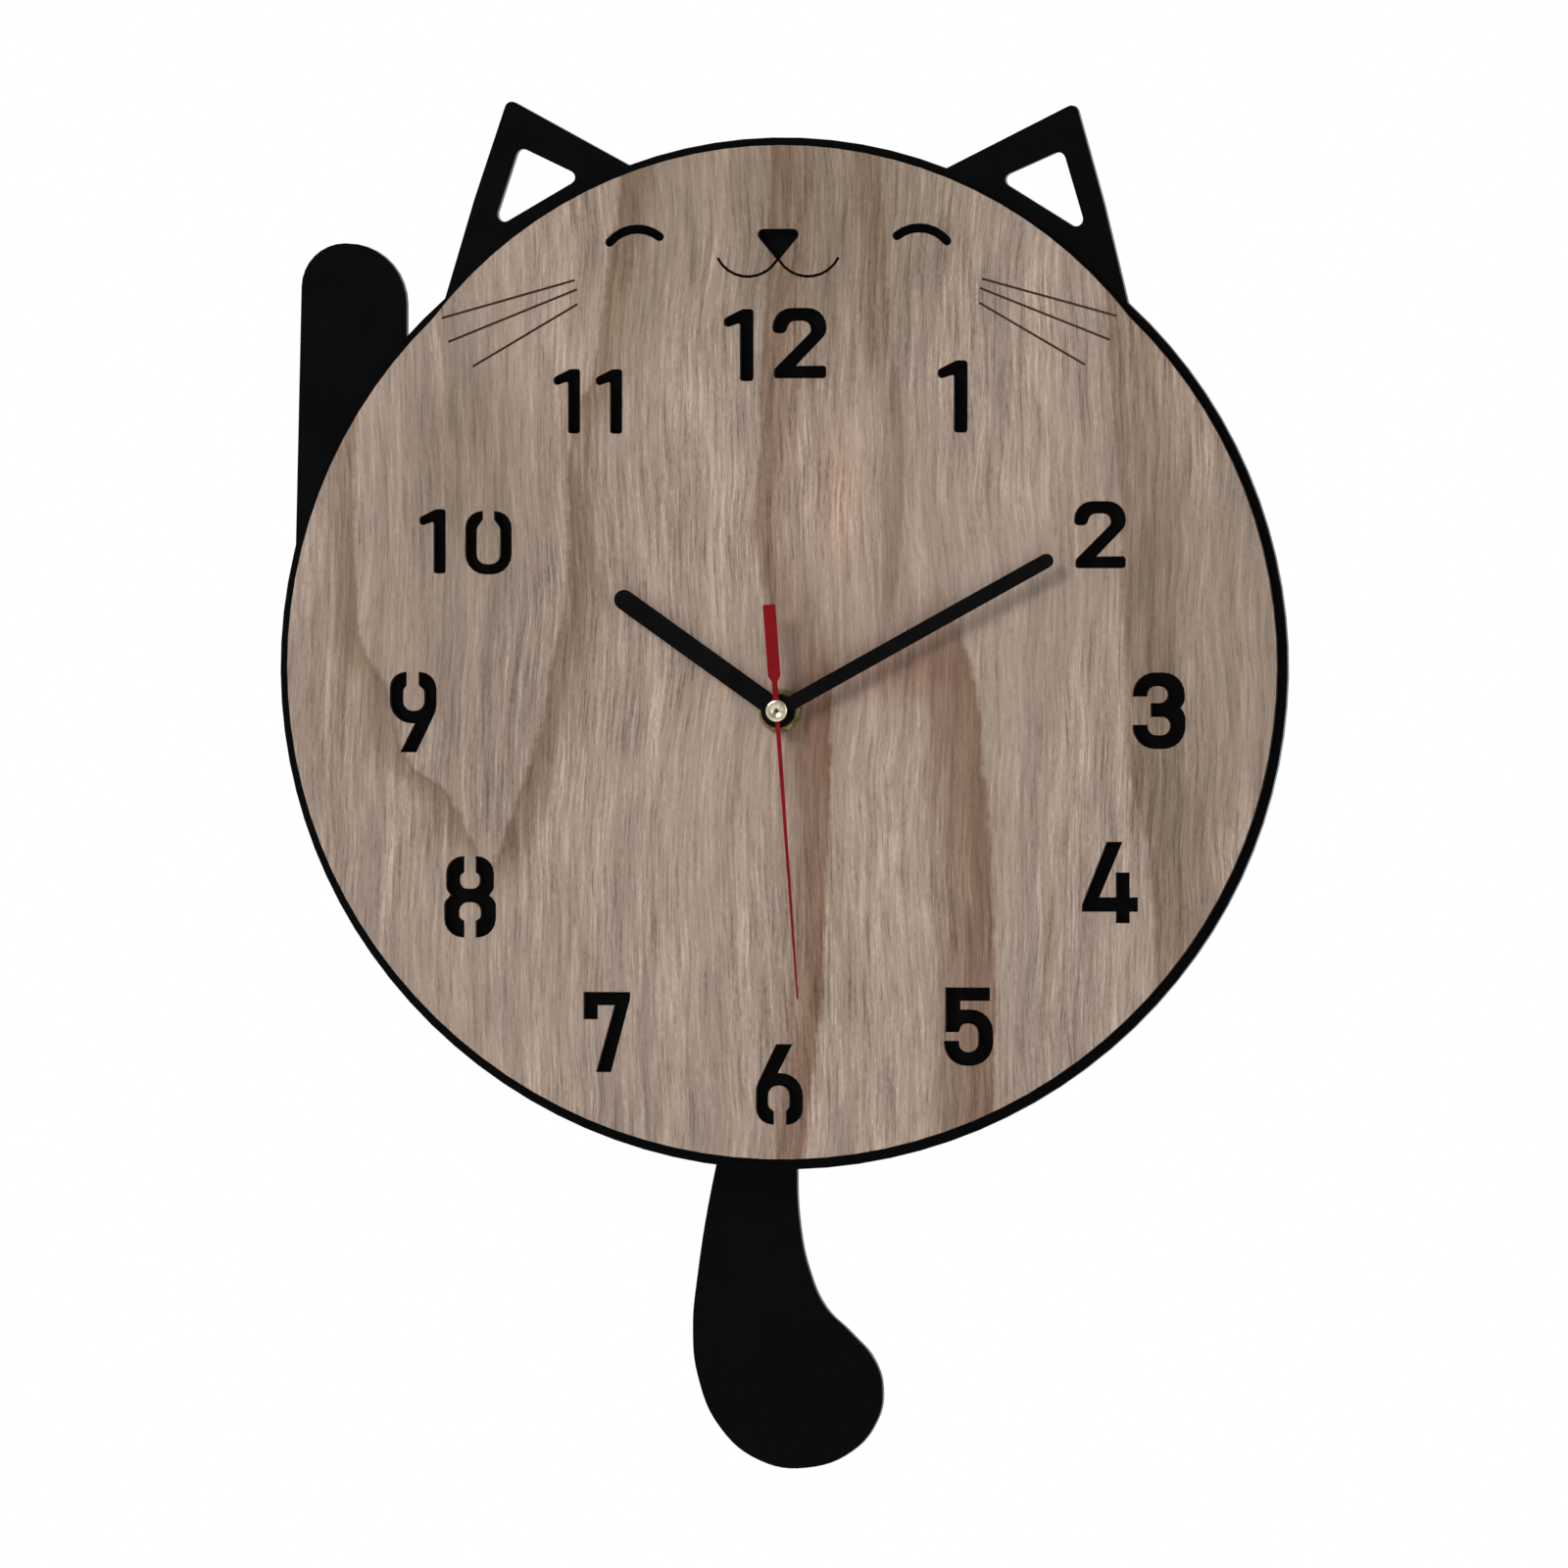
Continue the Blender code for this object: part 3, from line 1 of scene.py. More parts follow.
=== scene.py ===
"""Looks for the cat tail clock: materials, fine edges, and finer metal pieces.

Sizes are in millimetres unless a comment says otherwise. X runs to the right, Y
to the back and Z up, and the origin is where the hand axis meets the wall.
"""

import json
from math import cos, pi, radians, sin

import bmesh
import bpy
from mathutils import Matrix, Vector


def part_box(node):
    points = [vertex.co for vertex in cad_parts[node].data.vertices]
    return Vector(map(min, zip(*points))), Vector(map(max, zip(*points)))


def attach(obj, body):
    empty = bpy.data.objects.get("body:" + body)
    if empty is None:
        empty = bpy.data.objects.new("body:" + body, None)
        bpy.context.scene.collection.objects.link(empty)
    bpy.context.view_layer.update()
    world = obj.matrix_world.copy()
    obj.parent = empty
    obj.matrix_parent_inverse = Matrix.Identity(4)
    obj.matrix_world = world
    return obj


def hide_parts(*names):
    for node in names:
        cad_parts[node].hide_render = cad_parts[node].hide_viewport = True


MM = 0.001


# ------------------------------------------------------------------ shaders

class Graph:
    """Node tree of one material. A socket given as an input is linked, a value is set.

    A rounding, in millimetres, softens the sharp edges in the shading alone.
    """

    def __init__(self, name, rounding=0.0):
        self.material = bpy.data.materials.new(name)
        self.material.use_nodes = True
        self.tree = self.material.node_tree
        self.shader = self.tree.nodes["Principled BSDF"]
        self.base = self.node("Bevel", {"Radius": rounding * MM}).outputs[0] if rounding else None

    def feed(self, node, inputs):
        for key, value in inputs.items():
            if isinstance(value, bpy.types.NodeSocket):
                self.tree.links.new(value, node.inputs[key])
            else:
                node.inputs[key].default_value = value

    def node(self, kind, inputs=None, **settings):
        made = self.tree.nodes.new("ShaderNode" + kind)
        for key, value in settings.items():
            setattr(made, key, value)
        self.feed(made, inputs or {})
        return made

    def math(self, operation, first, second=0.0):
        return self.node("Math", {0: first, 1: second}, operation=operation).outputs[0]

    def add(self, first, second):
        return self.math("ADD", first, second)

    def times(self, first, second):
        return self.math("MULTIPLY", first, second)

    def place(self, *scale):
        """Position in the piece, in millimetres times a scale for each axis."""
        where = self.node("TexCoord").outputs["Object"]
        factors = tuple(value / MM for value in scale)
        scaled = self.node("VectorMath", {0: where, 1: factors}, operation="MULTIPLY")
        return scaled.outputs[0]

    def axes(self):
        """X, Y and Z in millimetres."""
        split = self.node("SeparateXYZ", {0: self.place(1, 1, 1)})
        return split.outputs[0], split.outputs[1], split.outputs[2]

    def noise(self, scale, detail=2.0, roughness=0.5, distortion=0.0, where=None):
        """Noise from 0 to 1, with a scale of spots per millimetre on each axis."""
        factors = scale if isinstance(scale, tuple) else (scale,) * 3
        if where is None:
            vector = self.place(*factors)
        else:
            vector = self.node("VectorMath", {0: where, 1: factors},
                               operation="MULTIPLY").outputs[0]
        inputs = {"Vector": vector, "Scale": 1.0, "Detail": detail,
                  "Roughness": roughness, "Distortion": distortion}
        return self.node("TexNoise", inputs).outputs["Fac"]

    def step(self, value, low, high, start=0.0, end=1.0):
        """Smooth rise from start to end while the value goes from low to high."""
        inputs = {"Value": value, "From Min": low, "From Max": high,
                  "To Min": start, "To Max": end}
        made = self.node("MapRange", inputs, interpolation_type="SMOOTHSTEP")
        return made.outputs["Result"]

    def mix(self, factor, first, second, blend="MIX"):
        made = self.node("Mix", {0: factor, 6: first, 7: second}, data_type="RGBA",
                         blend_type=blend)
        return made.outputs[2]

    def bump(self, height, distance, normal=None):
        """Bump with a distance in millimetres, on another one or on the rounded edges."""
        inputs = {"Height": height, "Distance": distance * MM, "Strength": 1.0}
        if normal or self.base:
            inputs["Normal"] = normal or self.base
        return self.node("Bump", inputs).outputs["Normal"]

    def facing_front(self):
        """1 on faces that look along Y either way, 0 on the cut edges."""
        normal = self.node("NewGeometry").outputs["True Normal"]
        local = self.node("VectorTransform", {0: normal}, vector_type="NORMAL",
                          convert_from="WORLD", convert_to="OBJECT").outputs[0]
        across = self.node("SeparateXYZ", {0: local}).outputs[1]
        return self.step(self.math("ABSOLUTE", across), 0.5, 0.8)

    def length(self, x, z):
        return self.math("SQRT", self.add(self.times(x, x), self.times(z, z)))

    def ring_distance(self):
        """Distance from the hand axis."""
        x, _, z = self.axes()
        return self.length(x, z)

    def surface(self, colour, roughness, **more):
        """Feeds the Principled shader, with other inputs by their plain names."""
        names = {"metallic": "Metallic", "normal": "Normal", "specular": "Specular IOR Level",
                 "coat": "Coat Weight", "coat_roughness": "Coat Roughness",
                 "anisotropic": "Anisotropic", "subsurface": "Subsurface Weight",
                 "subsurface_scale": "Subsurface Scale"}
        inputs = {names[key]: value for key, value in more.items()}
        self.feed(self.shader, {"Base Color": colour, "Roughness": roughness, **inputs})
        return self.material


def rgb(red, green, blue):
    return (red, green, blue, 1.0)


# --------------------------------------------------------------- wood veneer

# Growth lines of the veneer: points down the line as (z, x), the side on which the
# darker wood lies, how far it fades, its depth, how red it is, and the heights
# between which it comes in
GROWTH_LINES = (
    (((160, -46.5), (131, -50.5), (98, -56), (80, -62), (36, -63.2), (13, -68), (-11, -72.7),
      (-26, -78), (-43, -84.5), (-60, -88)), 1, 11.0, 1.0, 0.25, (-58, -38)),
    (((130, -127), (75, -126.3), (36, -125.7), (19, -124.5), (9, -118), (-15, -110),
      (-24, -99), (-35, -93), (-46, -87.5)), -1, 10.0, 0.9, 0.15, (-50, -36)),
    (((150, -3), (98, -4.9), (80, -5.3), (56, -7.2), (40, -5.3), (25, -3), (0, 2)),
     1, 13.0, 0.85, 0.6, (8, 34)),
    (((40, 17), (0, 15), (-30, 14.5), (-66, 13), (-88, 12), (-122, 7.5), (-140, 6)),
     -1, 12.0, 1.0, 0.8, (30, 0)),
    (((60, 40), (40, 46), (21, 53.4), (8, 57.2), (-19, 60.2), (-58, 63.1), (-111, 63.1),
      (-140, 63)), -1, 19.0, 1.0, 0.75, (45, 10)),
    (((150, 30), (120, 32), (80, 36), (55, 36), (25, 33), (5, 30)), -1, 9.0, 0.6, 0.5, (5, 40)),
    (((130, 95), (98, 97.5), (40, 101), (26, 100.6), (7, 101.8), (-25, 104), (-35, 107.4),
      (-64, 110.3), (-120, 113)), 1, 24.0, 0.8, 0.1, (-130, -120)),
)
# Soft patches: centre and half width as (x, z), tint, and strength
PATCHES = (
    ((0, 152), (95, 70), (0.74, 0.74, 0.69), 0.9),
    ((20, 128), (26, 55), (0.88, 0.86, 0.82), 0.8),
    ((125, 30), (40, 110), (0.84, 0.84, 0.81), 0.8),
    ((17, 62), (12, 34), (1.22, 1.10, 1.08), 0.9),
    ((-25, 20), (26, 95), (1.10, 1.09, 1.08), 0.9),
    ((34, 12), (26, 13), (0.82, 0.66, 0.62), 0.8),
    ((8, 2), (15, 38), (0.84, 0.72, 0.68), 0.8),
    ((-88, 75), (30, 40), (0.92, 0.90, 0.86), 0.8),
    ((-55, 25), (12, 55), (0.90, 0.88, 0.83), 0.8),
    ((82, 40), (24, 75), (1.05, 1.05, 1.04), 0.8),
    ((32, -50), (22, 60), (1.08, 1.07, 1.05), 0.9),
    ((-93, 50), (34, 120), (0.84, 0.84, 0.82), 1.0),
    ((-131, 0), (18, 70), (0.92, 0.91, 0.88), 0.8),
)
# Height and width of the square that the growth lines are drawn in
FIGURE_SPAN = 320.0
VENEER_DEPTH = 0.3
SCORCH_DEPTH = 0.16
# Spots per millimetre of each scale of the grain, along X, Y and Z
BANDS = (0.14, 0.14, 0.010)
STREAKS = (0.42, 0.42, 0.026)
FIBRES = (1.25, 1.25, 0.06)
PORES = (1.9, 1.9, 0.14)
HAIRS = (2.8, 2.8, 0.45)
LIGHT_WOOD = rgb(0.60, 0.475, 0.385)
MEAN_WOOD = rgb(0.365, 0.278, 0.222)
DARK_WOOD = rgb(0.17, 0.122, 0.088)
BROWN_TINT = rgb(0.68, 0.65, 0.575)
RED_TINT = rgb(0.93, 0.76, 0.75)
CREASE_TINT = rgb(0.7, 0.56, 0.5)
CHAR = rgb(0.018, 0.011, 0.008)
CORE = rgb(0.075, 0.045, 0.028)
SCORCHED = rgb(0.065, 0.04, 0.026)


def line_across(graph, height, points):
    """X of a growth line at each height, as a curve through its points."""
    share = graph.add(graph.times(height, 1 / FIGURE_SPAN), 0.5)
    node = graph.node("FloatCurve", {"Value": share})
    curve = node.mapping.curves[0]
    places = sorted((z / FIGURE_SPAN + 0.5, x / FIGURE_SPAN + 0.5) for z, x in points)
    for point, place in zip(curve.points, (places[0], places[-1])):
        point.location = place
    for place in places[1:-1]:
        curve.points.new(*place)
    node.mapping.update()
    return graph.times(graph.add(node.outputs[0], -0.5), FIGURE_SPAN)


def growth_figure(graph, x, z, streaks):
    """How much browner, redder and creased the veneer is beside its growth lines."""
    wobble = graph.noise((0.0, 0.0, 0.14), 4.0, 0.65)
    sway = graph.times(graph.add(wobble, -0.5), 4.0)
    frayed = graph.times(graph.add(streaks, -0.5), 5.0)
    torn = graph.add(graph.noise((0.8, 0.0, 0.05), 3.0, 0.65), -0.5)
    layers = []
    for points, side, reach, depth, redness, fade in GROWTH_LINES:
        line = graph.add(line_across(graph, z, points), sway)
        apart = graph.times(graph.add(x, graph.times(line, -1.0)), side)
        edge = graph.step(graph.add(apart, frayed), -0.9, 0.9)
        ragged = graph.add(apart, graph.times(torn, 1.3 * reach))
        soft = graph.step(ragged, 0.3 * reach, 1.2 * reach, 1.0, 0.0)
        held = graph.times(graph.step(z, *fade), depth)
        dark = graph.times(graph.times(edge, soft), held)
        off_line = graph.math("ABSOLUTE", graph.add(graph.add(apart, frayed), -0.8))
        crease = graph.times(graph.step(off_line, 0.0, 2.0, 0.35, 0.0), held)
        layers.append((dark, graph.times(dark, redness), crease))
    sums = layers[0]
    for layer in layers[1:]:
        sums = [graph.math("MAXIMUM", old, new) for old, new in zip(sums, layer)]
    return sums


def patched(graph, x, z, colour):
    """The colour, tinted in soft elliptical patches."""
    for (cx, cz), (rx, rz), tint, strength in PATCHES:
        dx = graph.times(graph.add(x, -cx), 1 / rx)
        dz = graph.times(graph.add(z, -cz), 1 / rz)
        reach = graph.length(dx, dz)
        colour = graph.mix(graph.step(reach, 0.25, 1.0, strength, 0.0), colour, rgb(*tint),
                           "MULTIPLY")
    return colour


def grain_place(graph, x, y, z):
    """Position with the grain's sideways waves taken out."""
    slow = graph.times(graph.add(graph.noise((0.008, 0.0, 0.010), 2.0), -0.5), 16.0)
    quick = graph.times(graph.add(graph.noise((0.05, 0.0, 0.03), 2.0), -0.5), 1.6)
    across = graph.add(x, graph.add(slow, quick))
    return graph.node("CombineXYZ", {0: across, 1: y, 2: z}).outputs[0]


def charred(graph, y, colour):
    """The colour on the skin, scorched lines below it and charred walls further in."""
    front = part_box("face_disc")[0].y / MM
    ragged = graph.times(graph.noise(1.8, 2.0), SCORCH_DEPTH)
    depth = graph.math("SUBTRACT", graph.add(y, -front), ragged)
    below = graph.step(depth, VENEER_DEPTH - SCORCH_DEPTH, VENEER_DEPTH - SCORCH_DEPTH / 2)
    deep = graph.step(depth, 0.5, 0.9)
    strands = graph.noise((1.2, 0.7, 1.2), 3.0, 0.7)
    burnt = graph.mix(graph.step(strands, 0.35, 0.7), CHAR, CORE)
    return graph.mix(below, colour, graph.mix(deep, SCORCHED, burnt)), below


def wood_veneer():
    """Grey-brown veneer with upright grain, charred where the laser has cut it."""
    graph = Graph("grey_brown_veneer")
    x, y, z = graph.axes()
    where = grain_place(graph, x, y, z)
    streaks = graph.noise(STREAKS, 3.0, 0.65, 0.0, where)
    fibres = graph.noise(FIBRES, 3.0, 0.65, 0.0, where)
    hairs = graph.noise(HAIRS, 2.0, 0.6, 0.0, where)
    bands = graph.noise(BANDS, 3.0, 0.6, 0.0, where)
    pores = graph.step(graph.noise(PORES, 2.0, 0.5, 0.0, where), 0.60, 0.70)
    brown, red, crease = growth_figure(graph, x, z, streaks)

    tone = graph.add(graph.times(streaks, 0.30), graph.times(fibres, 0.45))
    tone = graph.add(tone, graph.times(hairs, 0.25))
    colour = graph.mix(graph.step(tone, 0.36, 0.51), DARK_WOOD, MEAN_WOOD)
    colour = graph.mix(graph.step(tone, 0.49, 0.66), colour, LIGHT_WOOD)
    calm = graph.step(graph.noise((0.02, 0.02, 0.012), 2.0, 0.5), 0.4, 0.6, 0.05, 0.45)
    colour = graph.mix(calm, colour, MEAN_WOOD)
    shade = graph.step(bands, 0.3, 0.7, 0.86, 1.14)
    grey = graph.node("CombineColor", {0: shade, 1: shade, 2: shade}).outputs[0]
    colour = graph.mix(1.0, colour, grey, "MULTIPLY")
    colour = patched(graph, x, z, colour)
    colour = graph.mix(brown, colour, BROWN_TINT, "MULTIPLY")
    colour = graph.mix(red, colour, RED_TINT, "MULTIPLY")
    colour = graph.mix(crease, colour, CREASE_TINT, "MULTIPLY")
    colour = graph.mix(graph.times(pores, 0.35), colour, DARK_WOOD)
    colour, below = charred(graph, y, colour)

    relief = graph.add(graph.times(fibres, 0.5), graph.times(streaks, 0.6))
    relief = graph.math("SUBTRACT", relief, graph.times(pores, 0.7))
    normal = graph.bump(relief, 0.1)
    roughness = graph.step(fibres, 0.2, 0.8, 0.74, 0.54)
    roughness = graph.add(roughness, graph.times(below, 0.2))
    return graph.surface(colour, roughness, normal=normal, specular=0.25)


# ------------------------------------------------------------ other materials

TOOL_RING_PITCH = 0.09
STEEL_TINT = (0.56, 0.57, 0.59)
PIN_RADIUS = 0.58
BUTTON_HEIGHT = 1.2
# Press marks on the rubber, in radians per millimetre
WEAVE = 7.0
# Distances from the shoulder of the cell to the printed band and the line beside it
BAND_EDGE = 14.0
LINE_START = 15.6
LINE_END = 14.9


def black_acrylic():
    """Satin black sheet, with hair scratches and polished, lightly lined cut edges."""
    graph = Graph("satin_black_acrylic", 0.25)
    flat = graph.facing_front()
    cloud = graph.noise(0.05, 3.0, 0.6)
    scratch = graph.step(graph.noise((0.08, 0.08, 3.2), 3.0, 0.7, 0.6), 0.64, 0.72)
    hair = graph.step(graph.noise((2.6, 2.6, 0.05), 3.0, 0.7, 0.9), 0.66, 0.74)
    dust = graph.step(graph.noise(2.2, 1.0), 0.74, 0.82)
    worn = graph.times(graph.add(scratch, hair), 0.5)
    colour = graph.mix(graph.times(dust, 0.5), rgb(0.0009, 0.0010, 0.0013),
                       rgb(0.008, 0.008, 0.008))
    roughness = graph.add(graph.step(cloud, 0.3, 0.7, 0.3, 0.42), graph.times(worn, 0.12))
    roughness = graph.times(roughness, graph.step(flat, 0.0, 1.0, 0.55, 1.0))
    lines = graph.noise((4.0, 0.12, 4.0), 2.0)
    normal = graph.bump(graph.times(lines, graph.math("SUBTRACT", 1.0, flat)), 0.03)
    normal = graph.bump(worn, 0.008, normal)
    normal = graph.bump(graph.noise(0.03, 2.0), 0.06, normal)
    return graph.surface(colour, roughness, normal=normal, specular=0.07)


def lacquer(name, colour, deep, roughness, specular):
    """Sprayed paint on stamped metal: a fine orange peel and darker, softer patches."""
    graph = Graph(name)
    peel = graph.noise(1.4, 2.0, 0.55)
    cloud = graph.noise((0.12, 0.12, 0.12), 3.0, 0.6)
    grain = graph.noise(7.0, 2.0)
    mixed = graph.mix(graph.step(cloud, 0.3, 0.75), colour, deep)
    sheen = graph.step(graph.add(cloud, graph.times(grain, 0.3)), 0.4, 1.0,
                       roughness - 0.06, roughness + 0.1)
    normal = graph.bump(graph.add(peel, graph.times(grain, 0.25)), 0.012)
    return graph.surface(mixed, sheen, normal=normal, specular=specular)


def black_lacquer():
    return lacquer("black_hand_lacquer", rgb(0.0012, 0.0012, 0.0014), rgb(0.002, 0.002, 0.0024),
                   0.4, 0.08)


def red_lacquer():
    return lacquer("red_hand_lacquer", rgb(0.25, 0.005, 0.01), rgb(0.17, 0.003, 0.006),
                   0.34, 0.12)


def brass(name="turned_brass", bright=(0.9, 0.82, 0.64), dull=(0.7, 0.55, 0.32), polish=0.22):
    """Turned brass: tool rings around the hand axis, and a faint tarnish."""
    graph = Graph(name, 0.06)
    radius = graph.ring_distance()
    rings = graph.math("SINE", graph.times(radius, 2 * pi / TOOL_RING_PITCH))
    chatter = graph.times(graph.noise((1.5, 6.0, 1.5), 2.0), 0.3)
    tarnish = graph.noise(0.9, 3.0, 0.65)
    colour = graph.mix(graph.step(tarnish, 0.4, 0.75), rgb(*bright), rgb(*dull))
    roughness = graph.step(tarnish, 0.3, 0.8, polish, polish + 0.22)
    normal = graph.bump(graph.add(graph.times(rings, 0.5), chatter), 0.006)
    return graph.surface(colour, roughness, metallic=1.0, normal=normal)


def brass_in_painted_shade():
    """Brass with an olive tarnish, darkened further as painted shade under the hands, for the nut
    and washer.
    """
    return brass("brass_painted_shade", (0.30, 0.24, 0.12), (0.13, 0.10, 0.045), 0.4)


def steel():
    """Rolled sheet steel with a fine grain, small dents and dull spots."""
    graph = Graph("rolled_steel", 0.08)
    grain = graph.noise((9.0, 9.0, 0.25), 3.0, 0.7)
    spots = graph.noise(0.7, 4.0, 0.65)
    dull = tuple(value * 0.72 for value in STEEL_TINT)
    colour = graph.mix(graph.step(spots, 0.45, 0.75), rgb(*STEEL_TINT), rgb(*dull))
    roughness = graph.add(graph.step(grain, 0.3, 0.7, 0.22, 0.36), graph.times(spots, 0.12))
    normal = graph.bump(grain, 0.006)
    normal = graph.bump(spots, 0.02, normal)
    return graph.surface(colour, roughness, metallic=1.0, normal=normal, anisotropic=0.35)


def moulded(name, colour, pale, roughness, texture):
    """Moulded plastic with a spark-eroded skin, flow marks and rubbed patches."""
    graph = Graph(name, 0.3)
    skin = graph.noise(5.5, 3.0, 0.65)
    flow = graph.noise((0.05, 0.2, 0.12), 3.0, 0.6, 1.0)
    rubbed = graph.step(graph.noise(0.16, 4.0, 0.7), 0.5, 0.72)
    mixed = graph.mix(graph.times(rubbed, 0.5), colour, pale)
    sheen = graph.add(graph.step(flow, 0.3, 0.7, roughness + 0.05, roughness - 0.05),
                      graph.times(rubbed, -0.1))
    normal = graph.bump(skin, texture)
    normal = graph.bump(flow, 0.05, normal)
    return graph.surface(mixed, sheen, normal=normal, specular=0.4)


def case_plastic():
    return moulded("textured_black_plastic", rgb(0.012, 0.012, 0.013), rgb(0.026, 0.026, 0.027),
                   0.5, 0.035)


def gear_plastic(name="off_white_acetal", pin=0.0):
    """Waxy off-white acetal, which lets a little light in, around a steel pin if any."""
    graph = Graph(name, 0.08)
    flow = graph.noise(0.3, 3.0, 0.6, 1.2)
    specks = graph.step(graph.noise(3.0, 2.0), 0.68, 0.76)
    colour = graph.mix(graph.step(flow, 0.3, 0.7), rgb(0.80, 0.79, 0.73), rgb(0.70, 0.68, 0.60))
    colour = graph.mix(graph.times(specks, 0.25), colour, rgb(0.45, 0.42, 0.36))
    metal = graph.step(graph.ring_distance(), pin, pin + 0.02, 1.0, 0.0) if pin else 0.0
    colour = graph.mix(metal, colour, rgb(0.10, 0.085, 0.06))
    normal = graph.bump(graph.noise(4.0, 2.0), 0.01)
    return graph.surface(colour, graph.step(flow, 0.2, 0.8, 0.32, 0.46), normal=normal,
                         metallic=metal, subsurface=0.15, subsurface_scale=0.002)


def pinned_acetal():
    """The second wheel's plastic, with the oiled steel pin that carries the hand."""
    return gear_plastic("acetal_on_steel_pin", PIN_RADIUS)


def rubber():
    """Dull rubber sheet, with a fabric-like press mark and pale dust."""
    graph = Graph("gasket_rubber")
    x, _, z = graph.axes()
    weave = graph.times(graph.math("SINE", graph.times(x, WEAVE)),
                        graph.math("SINE", graph.times(z, WEAVE)))
    dust = graph.step(graph.noise(0.8, 4.0, 0.7), 0.5, 0.8)
    colour = graph.mix(graph.times(dust, 0.35), rgb(0.016, 0.016, 0.016), rgb(0.07, 0.068, 0.065))
    normal = graph.bump(graph.add(graph.times(weave, 0.4), graph.noise(6.0, 2.0)), 0.03)
    return graph.surface(colour, graph.step(dust, 0.0, 1.0, 0.78, 0.92), normal=normal,
                         specular=0.2)


def copper():
    """Enamelled copper wire: bright where it turns, with a lacquer skin."""
    graph = Graph("enamelled_copper")
    tone = graph.noise((1.4, 1.4, 1.4), 3.0, 0.6)
    colour = graph.mix(graph.step(tone, 0.3, 0.7), rgb(0.72, 0.27, 0.1), rgb(0.46, 0.13, 0.045))
    normal = graph.bump(graph.noise(3.0, 2.0), 0.01)
    return graph.surface(colour, graph.step(tone, 0.2, 0.8, 0.22, 0.34), metallic=1.0,
                         normal=normal, coat=0.5, coat_roughness=0.12)


def board_laminate():
    """Green solder mask over copper tracks, with bare laminate at the cut edges."""
    graph = Graph("circuit_board_laminate")
    flat = graph.facing_front()
    cells = graph.node("TexVoronoi", {"Vector": graph.place(0.45, 0.45, 0.45), "Scale": 1.0},
                       distance="MANHATTAN", feature="F1").outputs["Distance"]
    track = graph.step(graph.math("ABSOLUTE", graph.math("SINE", graph.times(cells, 9.0))),
                       0.25, 0.4)
    fibre = graph.noise((6.0, 2.0, 6.0), 3.0, 0.6)
    mask = graph.mix(track, rgb(0.01, 0.085, 0.032), rgb(0.018, 0.13, 0.05))
    edge = graph.mix(graph.step(fibre, 0.3, 0.7), rgb(0.36, 0.33, 0.2), rgb(0.24, 0.21, 0.12))
    normal = graph.bump(graph.times(track, flat), 0.035)
    return graph.surface(graph.mix(flat, edge, mask), graph.step(flat, 0.0, 1.0, 0.75, 0.32),
                         normal=normal)


def sintered_magnet():
    """Grey sintered ferrite with a fine, crumbly grain and chipped corners."""
    graph = Graph("sintered_magnet")
    grain = graph.noise(5.0, 4.0, 0.7)
    chips = graph.step(graph.noise(1.1, 3.0, 0.7), 0.6, 0.75)
    colour = graph.mix(graph.step(grain, 0.3, 0.7), rgb(0.06, 0.06, 0.065), rgb(0.13, 0.13, 0.14))
    colour = graph.mix(graph.times(chips, 0.4), colour, rgb(0.22, 0.22, 0.23))
    normal = graph.bump(graph.add(grain, chips), 0.03)
    return graph.surface(colour, graph.step(grain, 0.3, 0.7, 0.4, 0.6), metallic=0.7,
                         normal=normal)


def battery_jacket(left, right):
    """Shrunk printed jacket on the can between two ends, with bare steel at both."""
    graph = Graph("battery_jacket")
    x = graph.axes()[0]
    wrinkle = graph.noise((0.25, 1.4, 1.4), 3.0, 0.6)
    edge = graph.times(graph.add(wrinkle, -0.5), 0.5)
    at = graph.add(x, edge)
    jacket = graph.times(graph.step(at, left + 1.1, left + 1.3),
                         graph.step(at, right - 1.3, right - 1.1, 1.0, 0.0))
    band = graph.step(at, right - BAND_EDGE, right - BAND_EDGE + 0.3)
    stripe = graph.times(graph.step(at, right - LINE_START, right - LINE_START + 0.2),
                         graph.step(at, right - LINE_END, right - LINE_END + 0.2, 1.0, 0.0))
    print_colour = graph.mix(band, rgb(0.012, 0.05, 0.15), rgb(0.42, 0.43, 0.45))
    print_colour = graph.mix(stripe, print_colour, rgb(0.72, 0.72, 0.7))
    scuff = graph.step(graph.noise((0.4, 2.0, 2.0), 4.0, 0.7), 0.62, 0.75)
    print_colour = graph.mix(graph.times(scuff, 0.35), print_colour, rgb(0.5, 0.5, 0.52))
    steel_tone = graph.mix(graph.noise(0.8, 3.0), rgb(0.62, 0.62, 0.64), rgb(0.44, 0.44, 0.46))
    colour = graph.mix(jacket, steel_tone, print_colour)
    roughness = graph.add(graph.step(jacket, 0.0, 1.0, 0.3, 0.24), graph.times(scuff, 0.15))
    metallic = graph.step(graph.math("MAXIMUM", graph.math("SUBTRACT", 1.0, jacket),
                                     graph.times(band, 0.6)), 0.0, 1.0)
    normal = graph.bump(wrinkle, 0.03)
    return graph.surface(colour, roughness, metallic=metallic, normal=normal,
                         coat=graph.times(jacket, 0.5))


# ----------------------------------------------------------- edges of the CAD

SHARP_ANGLE = radians(35)
FLAT_ANGLE = radians(0.4)
WELD_DISTANCE = 0.002
ROUNDING_STEPS = 2


